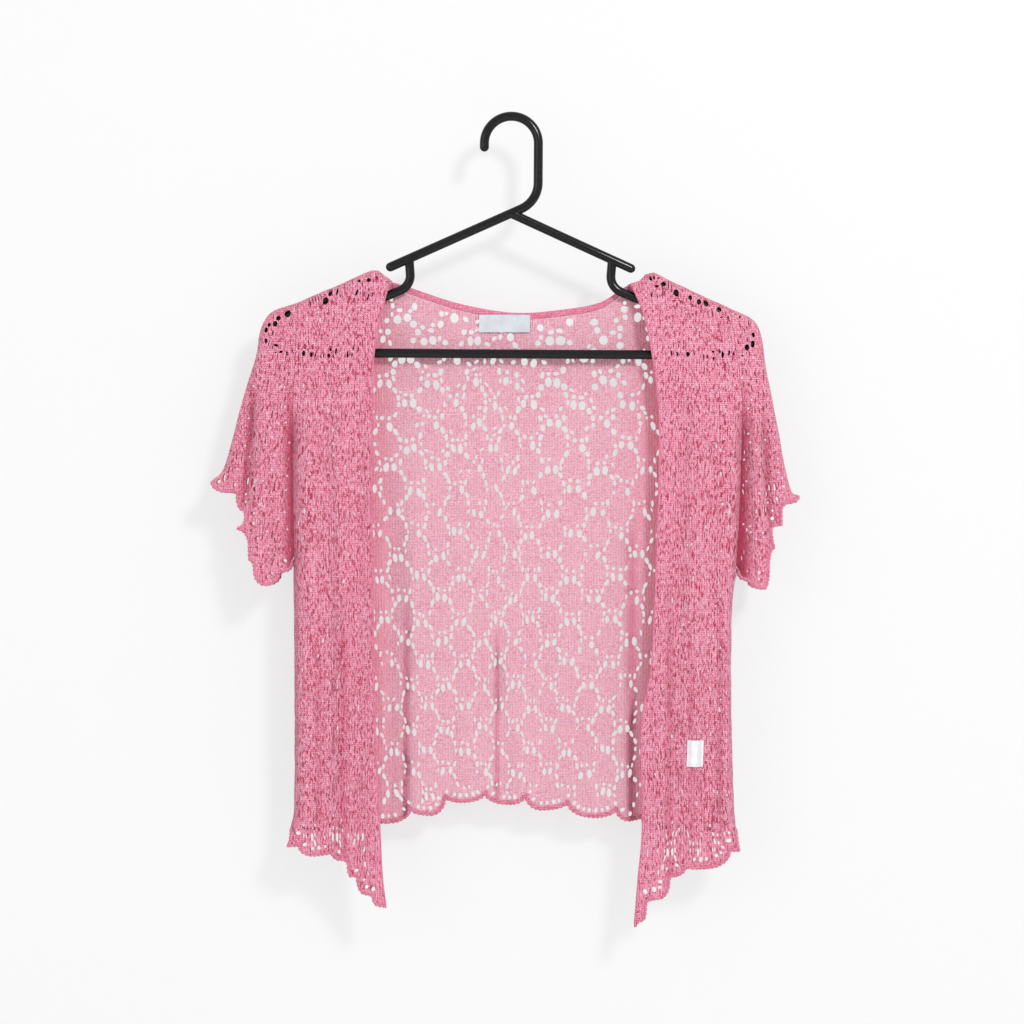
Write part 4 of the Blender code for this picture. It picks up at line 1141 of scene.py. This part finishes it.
white_tape = label_material("white_tape", (0.50, 0.50, 0.52), (0.56, 0.56, 0.58))
plastic = plastic_material()

# Panels

STEP = 0.004
HEM_STEPS = 7
ROW_GAP = 0.009

right_lace = Lace(21.5, 42.0, -150.0, -190.0, 0.0, 0.48, -130.0, 40.0, 0.75)
left_lace = Lace(21.5, 42.0, 158.0, -182.0, 0.02, 0.48, -130.0, 40.0, 0.75)
right_sleeve_lace = Lace(24.0, 40.0, -204.0, -190.0, -0.16, 0.50, -130.0, 40.0, 0.65)
left_sleeve_lace = Lace(24.0, 40.0, 207.0, -194.0, 0.13, 0.50, -130.0, 40.0, 0.65)

Side = namedtuple(
    "Side", "way shoulder overarm edge front_hem sleeve_hem armhole lace sleeve_lace slots pins"
)

RIGHT = Side(
    -1,
    RIGHT_SHOULDER,
    RIGHT_OVERARM,
    RIGHT_FRONT_EDGE,
    RIGHT_FRONT_HEM,
    RIGHT_SLEEVE_HEM,
    RIGHT_ARMHOLE,
    right_lace,
    right_sleeve_lace,
    RIGHT_SLOTS,
    RIGHT_PINHOLES,
)
LEFT = Side(
    1,
    LEFT_SHOULDER,
    LEFT_OVERARM,
    LEFT_FRONT_EDGE,
    LEFT_FRONT_HEM,
    LEFT_SLEEVE_HEM,
    LEFT_ARMHOLE,
    left_lace,
    left_sleeve_lace,
    LEFT_SLOTS,
    LEFT_PINHOLES,
)


def panel_outline(*lines):
    return turned_left(tidy_line(np.concatenate(lines)))


def front_panel(name, side, seed):
    rng = np.random.default_rng(seed)
    shoulder = smooth_line(metres(side.shoulder), STEP)
    edge = smooth_line(metres(side.edge), STEP)
    hem = scallop_line(side.front_hem, HEM_STEPS)
    flank = SIDE_LINES[side.way]
    armhole = smooth_line(metres(side.armhole), STEP)
    outline = panel_outline(shoulder[::-1], edge, hem[::-1], flank[::-1], armhole[::-1])
    border = hem_eyelets(hem, outline, rng, uneven=0.6)
    holes = lace_holes(outline, hem, side.lace, rng, [(edge, 0.019), (flank, 0.008)])
    border += drop_near(slot_holes(side.slots, outline, hem), border)
    holes = drop_near(holes, border) + border
    slits = slit_holes(outline, hem, rng, side.lace.turn)
    slits = [slit for slit in slits if nearest_on(edge, slit)[0].min() > EDGE_BAND]
    holes += drop_near(slits, holes, SLIT_GAP)
    spare = grid_points(outline, 0.0042, 0.0075, rng, holes, 0.0012)
    away = nearest_on(flank, spare)[0] > ROW_GAP
    spare = spare[away & (nearest_on(shoulder, spare)[0] > 0.006)]
    rolls = np.concatenate((round_rows(shoulder, SHOULDER_ROUND), round_rows(flank, SIDE_ROUND)))
    spare = np.concatenate((spare, clear_points(rolls, outline, holes)))
    relief = leaf_relief(side.lace, 0.0002)
    skin = functools.partial(cloth_skin, -1)
    panel = lace_wall(name, outline, holes, spare, skin, front_yarn, relief)
    edging = swept_cord(f"{name}_hem_edging", edge_path(hem, -1, 0.0005), 0.0015, edge_yarn, HEM_BUMP)
    band = swept_cord(f"{name}_edge_cord", edge_path(edge, -1, 0.0), 0.0010, edge_yarn, EDGE_BUMP)
    return panel, [edging, band]


def clear_points(points, outline, holes):
    points = points[contains(outline, points)]
    points = points[nearest_on(closed(outline), points)[0] > 0.0004]
    keep = np.ones(len(points), bool)
    for hole in holes:
        middle = hole.mean(0)
        keep &= np.linalg.norm(points - middle, axis=1) > np.abs(hole - middle).max() + 0.0005
    return points[keep]


def sleeve_half(name, layer, side, seed):
    rng = np.random.default_rng(seed)
    over = smooth_line(metres(side.overarm), STEP)
    over[0] = over[0] + (over[1] - over[0]) / np.linalg.norm(over[1] - over[0]) * SEAM_GAP
    hem = scallop_line(side.sleeve_hem, HEM_STEPS)
    seam = smooth_line(metres(side.armhole), STEP) + (side.way * SEAM_GAP, 0.0)
    seam[-1] = hem[-1]
    outline = panel_outline(over, hem, seam[:0:-1])
    border = hem_eyelets(hem, outline, rng, uneven=0.5)
    holes = lace_holes(outline, hem, side.sleeve_lace, rng)
    border += drop_near(slot_holes(side.slots, outline, hem), border)
    border += drop_near(pinholes(side.pins, layer, outline, hem), border, 0.0005)
    holes = drop_near(holes, border) + border
    slits = slit_holes(outline, hem, rng, side.sleeve_lace.turn, column=3.4, row=6.0, share=0.75)
    holes += drop_near(slits, holes, SLIT_GAP)
    spare = grid_points(outline, 0.0042, 0.0070, rng, holes, 0.0012)
    spare = spare[nearest_on(over, spare)[0] > 0.006]
    rolls = clear_points(round_rows(over, SHOULDER_ROUND), outline, holes)
    spare = np.concatenate((spare, rolls))
    yarn = sleeve_yarn if layer < 0 else sleeve_inner_yarn
    relief = leaf_relief(side.sleeve_lace, 0.0002)
    skin = functools.partial(cloth_skin, layer, seam_outward=False)
    panel = lace_wall(name, outline, holes, spare, skin, yarn, relief)
    path = edge_path(hem, layer, 0.0, seam_outward=False)
    return panel, [swept_cord(f"{name}_hem_edging", path, 0.0015, edge_yarn, HEM_BUMP)]


def back_panel(seed):
    rng = np.random.default_rng(seed)
    cut_neck = smooth_line(metres(NECKLINE), STEP) - (0.0, BINDING_WIDTH + SEAM_GAP)
    shoulders = [smooth_line(metres(rows), STEP) for rows in (RIGHT_SHOULDER, LEFT_SHOULDER)]
    armholes = [smooth_line(metres(rows), STEP) for rows in (RIGHT_ARMHOLE, LEFT_ARMHOLE)]
    hem = scallop_line(BACK_HEM, HEM_STEPS)
    outline = panel_outline(
        shoulders[0][::-1],
        cut_neck,
        shoulders[1],
        armholes[1],
        SIDE_LINES[1],
        hem[::-1],
        SIDE_LINES[-1][::-1],
        armholes[0][::-1],
    )
    border = hem_eyelets(hem, outline, rng)
    holes = back_eyelets(outline, hem, rng)
    holes = drop_near(holes, border) + border
    spare = grid_points(outline, 0.0056, 0.0090, rng, holes, 0.0014)
    for line in (*shoulders, SIDE_LINES[-1], SIDE_LINES[1]):
        spare = spare[nearest_on(line, spare)[0] > ROW_GAP]
    rolls = [round_rows(line, SHOULDER_ROUND) for line in shoulders]
    rolls += [round_rows(SIDE_LINES[side], SIDE_ROUND) for side in (-1, 1)]
    rolls = clear_points(np.concatenate(rolls), outline, holes)
    spare = np.concatenate((spare, rolls))
    skin = functools.partial(cloth_skin, 1)
    panel = lace_wall("back_lace", outline, holes, spare, skin, back_yarn, back_relief)
    return panel, [swept_cord("back_hem_edging", edge_path(hem, 1, 0.0007), 0.0018, edge_yarn, HEM_BUMP)]


def grid_wall(name, low, high, columns, material):
    """A closed wall between two sheets of points, row after row of so many columns."""
    total = len(low)
    rows = total // columns
    faces = []
    for row in range(rows - 1):
        for column in range(columns - 1):
            base = row * columns + column
            corners = (base, base + 1, base + columns + 1, base + columns)
            faces.append(corners)
            faces.append(tuple(total + corner for corner in reversed(corners)))
    rim = list(range(columns))
    rim += [row * columns + columns - 1 for row in range(1, rows)]
    rim += [(rows - 1) * columns + column for column in range(columns - 2, -1, -1)]
    rim += [row * columns for row in range(rows - 2, 0, -1)]
    for start, end in zip(rim, rim[1:] + rim[:1]):
        faces.append((start, end, end + total, start + total))
    return add_mesh(name, np.concatenate((low, high)), faces, material, smooth_angle=40.0)


def neck_binding():
    """A dense ribbed strip with rounded edges along the back neckline."""
    neck = smooth_line(metres(NECKLINE), BINDING_STEP)
    count = len(neck)
    rib = BINDING_RIB * np.sin(np.arange(count) * math.pi / 1.5)
    verts, faces = [], []
    for row in range(BINDING_ROWS):
        part = row / (BINDING_ROWS - 1)
        inner, normal = cloth_skin(1, neck - (0.0, BINDING_WIDTH * part))
        crown = BINDING_CROWN * math.sqrt(max(0.0, 1.0 - (2.0 * part - 1.0) ** 2))
        half = (BINDING_EDGE + crown + rib * (crown > 0.0002))[:, None]
        verts += [inner + normal * (WALL / 2.0 - half), inner + normal * (WALL / 2.0 + half)]
    for row in range(BINDING_ROWS - 1):
        for column in range(count - 1):
            for base in (2 * row * count + column, (2 * row + 1) * count + column):
                above = base + 2 * count
                faces.append((base, base + 1, above + 1, above))
    for row in (0, BINDING_ROWS - 1):
        for column in range(count - 1):
            base = 2 * row * count + column
            faces.append((base, base + 1, base + 1 + count, base + count))
    for row in range(BINDING_ROWS - 1):
        for column in (0, count - 1):
            base = 2 * row * count + column
            faces.append((base, base + count, base + 3 * count, base + 2 * count))
    return add_mesh("neck_binding_rib", np.concatenate(verts), faces, edge_yarn, smooth_angle=70.0)


def label(name, centre, size, turn, layer, lift, material):
    """A bare tape label lying on the cloth, a little uneven."""
    columns, rows = LABEL_GRID
    x = np.linspace(-0.5, 0.5, columns) * size[0]
    z = np.linspace(-0.5, 0.5, rows) * size[1]
    x, z = np.stack(np.meshgrid(x, z), -1).reshape(-1, 2).T
    c, s = math.cos(turn), math.sin(turn)
    spots = np.stack((centre[0] + x * c - z * s, centre[1] + x * s + z * c), 1)
    inner, normal = cloth_skin(layer, spots)
    ripple = LABEL_RIPPLE * np.sin(x * 260.0 + 1.0) * np.cos(z * 190.0)
    low = inner + normal * (lift + ripple)[:, None]
    high = low + normal * LABEL_THICKNESS
    return grid_wall(name, low, high, columns, material)


# Hanger, as in its solid but rounder

TUBE_SIDES = 24
TUBE_RADIUS = 0.00395
BRANCH_RADIUS = 0.00390
HOOK_INNER_RADIUS = 0.0191
HOOK_TIP_DROP = 0.0034
STEM_BEND_RADIUS = 0.0246
ARM_APEX_HEIGHT = -0.0790
ARM_SLOPE = math.radians(24.3)
INNER_ARM_REACH = 0.1027
OUTER_ARM_START = 0.1210
OUTER_ARM_DROP = 0.0030
HANGER_HALF_WIDTH = 0.2100
BAR_HEIGHT = -0.1990
HANGER_TILT = math.radians(0.35)

# Corners of a strap notch's loop in millimetres: x, z and radius
NOTCH_LOOP = ((86.7, -118.1, 0.0), (85.0, -141.5, 14.0), (112.0, -153.0, 20.0), (138.0, -144.3, 0.0))


def rounded_path(corners, arc_step=math.radians(4.0)):
    points = [np.array(corners[0][:2])]
    for before, corner, after in zip(corners, corners[1:], corners[2:]):
        here = np.array(corner[:2])
        into = here - np.array(before[:2])
        into /= np.linalg.norm(into)
        out = np.array(after[:2]) - here
        out /= np.linalg.norm(out)
        turn = math.acos(max(-1.0, min(1.0, float(into @ out))))
        inward = out - into * (out @ into)
        inward /= max(np.linalg.norm(inward), 1e-9)
        centre = here - into * corner[2] * math.tan(turn / 2.0) + inward * corner[2]
        steps = max(2, math.ceil(turn / arc_step))
        for angle in np.linspace(0.0, turn, steps + 1):
            points.append(centre + (into * math.sin(angle) - inward * math.cos(angle)) * corner[2])
    points.append(np.array(corners[-1][:2]))
    return tidy_line(np.array(points))


def tube(name, path, radius):
    c, s = math.cos(HANGER_TILT), math.sin(HANGER_TILT)
    path = np.stack((path[:, 0] * c + path[:, 1] * s, path[:, 1] * c - path[:, 0] * s), 1)
    stations = [(p, t, radius) for p, t in zip(path, directions(path))]
    first, last = stations[0], stations[-1]
    for angle in np.radians((18.0, 36.0, 54.0, 70.0, 82.0)):
        reach, narrow = radius * math.sin(angle), radius * math.cos(angle)
        stations.insert(0, (first[0] - first[1] * reach, first[1], narrow))
        stations.append((last[0] + last[1] * reach, last[1], narrow))
    verts = []
    for centre, way, narrow in stations:
        across = np.array((-way[1], way[0]))
        for side in range(TUBE_SIDES):
            turn = 2.0 * math.pi * side / TUBE_SIDES
            flat = centre + across * narrow * math.sin(turn)
            verts.append((flat[0], narrow * math.cos(turn), flat[1]))
    return add_mesh(name, verts, tube_faces(len(stations), TUBE_SIDES), plastic)


def arm_point(x, drop=0.0):
    return (x, ARM_APEX_HEIGHT - drop - abs(x) * math.tan(ARM_SLOPE), 0.0)


def hanger():
    hook_radius = HOOK_INNER_RADIUS + TUBE_RADIUS
    turn = np.linspace(math.pi, 0.0, 46)
    crown = np.stack((hook_radius * np.cos(turn), hook_radius * np.sin(turn) - HOOK_INNER_RADIUS), 1)
    tip = np.array(((-hook_radius, -HOOK_INNER_RADIUS - HOOK_TIP_DROP),))
    stem = (hook_radius, ARM_APEX_HEIGHT + hook_radius * math.tan(ARM_SLOPE), STEM_BEND_RADIUS)
    rest = rounded_path(((hook_radius, -HOOK_INNER_RADIUS, 0.0), stem, arm_point(-INNER_ARM_REACH)))
    main = tube("hanger_body", np.concatenate((tip, crown, rest[1:])), TUBE_RADIUS)
    corner_x = (ARM_APEX_HEIGHT - OUTER_ARM_DROP - BAR_HEIGHT) / math.tan(ARM_SLOPE)
    end_turn = math.pi - ARM_SLOPE
    end_radius = (corner_x - HANGER_HALF_WIDTH + TUBE_RADIUS) / (math.tan(end_turn / 2.0) - 1.0)
    bow = rounded_path(
        (
            arm_point(OUTER_ARM_START, OUTER_ARM_DROP),
            (corner_x, BAR_HEIGHT, end_radius),
            (-corner_x, BAR_HEIGHT, end_radius),
            arm_point(-OUTER_ARM_START, OUTER_ARM_DROP),
        )
    )
    arm = np.array([arm_point(reach)[:2] for reach in (0.0, INNER_ARM_REACH / 2.0, INNER_ARM_REACH)])
    branches = [tube("hanger_arm", arm, BRANCH_RADIUS), tube("hanger_bow", bow, TUBE_RADIUS)]
    for side in (-1.0, 1.0):
        loop = rounded_path([(side * x * MM, z * MM, r * MM) for x, z, r in NOTCH_LOOP])
        branches.append(tube("hanger_loop", loop, BRANCH_RADIUS))
    for branch in branches:
        union = main.modifiers.new("join", "BOOLEAN")
        union.operation = "UNION"
        union.object = branch
    graph = bpy.context.evaluated_depsgraph_get()
    joined = bpy.data.meshes.new_from_object(main.evaluated_get(graph))
    main.modifiers.clear()
    main.data = joined
    for branch in branches:
        bpy.data.objects.remove(branch, do_unlink=True)
    main.data.shade_smooth()
    main.data.set_sharp_from_angle(angle=math.radians(40.0))
    return main


def cut(piece, node, with_pieces):
    """Cloth that stands for its solid: it and its trims go on the root body, and the solid is hidden."""
    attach(piece, "root")
    for trim in with_pieces:
        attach(trim, "root")
    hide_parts(node)


panel, trims = back_panel(11)
binding = neck_binding()
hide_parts("neck_binding")
cut(panel, "back", trims + [binding])

panel, trims = front_panel("front_right_lace", RIGHT, 21)
cut(panel, "front_right", trims)
panel, trims = front_panel("front_left_lace", LEFT, 22)
cut(panel, "front_left", trims)

for half, layer in (("front", -1), ("back", 1)):
    panel, trims = sleeve_half(f"sleeve_right_{half}_lace", layer, RIGHT, 31)
    cut(panel, f"sleeve_right_{half}", trims)
    panel, trims = sleeve_half(f"sleeve_left_{half}_lace", layer, LEFT, 32)
    cut(panel, f"sleeve_left_{half}", trims)

neck_size = (0.0436, 0.0150)
neck_tape = label("neck_label_tape", (-0.0060, -0.1725), neck_size, 0.0, 1, -0.00150, tape)
cut(neck_tape, "neck_label", [])
care_size = (0.0140, 0.0225)
care_turn = math.radians(-2.5)
care_tape = label("care_label_tape", (0.1559, -0.5390), care_size, care_turn, -1, 0.00205, white_tape)
cut(care_tape, "care_label", [])

hanger_body = hanger()
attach(hanger_body, "root")
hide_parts("hanger")

# Stage

WALL_AWAY = 0.048
FLOOR_HEIGHT = -1.10
LIT_POINT = Vector((0.0, 0.0, -0.33))


def stage_material(name, colour, glow, one_sided):
    material, tree, shader, place = new_material(name)
    grain = noise(tree, place, 30.0, 4.0)
    base = mix_colour(tree, grain, colour, tuple(c * 0.985 for c in colour))
    tree.links.new(base, shader.inputs["Base Color"])
    shader.inputs["Roughness"].default_value = 0.9
    shader.inputs["Specular IOR Level"].default_value = 0.1
    shader.inputs["Emission Color"].default_value = (1.0, 1.0, 1.0, 1.0)
    shader.inputs["Emission Strength"].default_value = glow
    if one_sided:
        clear = tree.nodes.new("ShaderNodeBsdfTransparent")
        facing = tree.nodes.new("ShaderNodeNewGeometry").outputs["Backfacing"]
        blend_surface(tree, facing, shader, clear)
    return material


def stage_plane(name, corners, material):
    mesh = bpy.data.meshes.new(name)
    mesh.from_pydata(corners, [], [tuple(range(len(corners)))])
    mesh.materials.append(material)
    item = bpy.data.objects.new(name, mesh)
    bpy.context.scene.collection.objects.link(item)


backdrop_paint = stage_material("backdrop_paint", (0.175, 0.175, 0.175), 0.66, True)
corners = ((-3.0, FLOOR_HEIGHT), (3.0, FLOOR_HEIGHT), (3.0, 3.0), (-3.0, 3.0))
stage_plane("backdrop", [(x, WALL_AWAY, z) for x, z in corners], backdrop_paint)
floor_paint = stage_material("floor_paint", (0.85, 0.85, 0.85), 0.0, False)
corners = ((-4.0, -4.0), (4.0, -4.0), (4.0, 4.0), (-4.0, 4.0))
stage_plane("floor", [(x, y, FLOOR_HEIGHT) for x, y in corners], floor_paint)


def area_light(name, place, size, power):
    data = bpy.data.lights.new(name, "AREA")
    data.shape = "DISK"
    data.size = size
    data.energy = power
    item = bpy.data.objects.new(name, data)
    item.location = place
    item.rotation_euler = (LIT_POINT - Vector(place)).to_track_quat("-Z", "Y").to_euler()
    bpy.context.scene.collection.objects.link(item)


area_light("key", (1.25, -2.6, 1.15), 0.60, 79.0)
area_light("fill", (-2.2, -2.6, 0.2), 2.4, 24.0)
area_light("rear", (0.6, 2.6, 1.2), 2.0, 34.0)

world = bpy.data.worlds.new("studio")
world.use_nodes = True
world.node_tree.nodes["Background"].inputs["Color"].default_value = (1.0, 1.0, 1.0, 1.0)
world.node_tree.nodes["Background"].inputs["Strength"].default_value = 0.95
bpy.context.scene.world = world
bpy.context.scene.view_settings.view_transform = "Standard"

# Camera: level, straight on, with the photograph's framing

camera_data = bpy.data.cameras.new("camera")
camera_data.sensor_width = 36.0
camera_data.lens = camera_data.sensor_width * CAMERA_AWAY / FRAME_WIDTH
camera = bpy.data.objects.new("camera", camera_data)
camera.location = (FRAME_CENTRE[0], -CAMERA_AWAY, FRAME_CENTRE[1])
camera.rotation_euler = (math.radians(90.0), 0.0, 0.0)
bpy.context.scene.collection.objects.link(camera)
bpy.context.scene.camera = camera
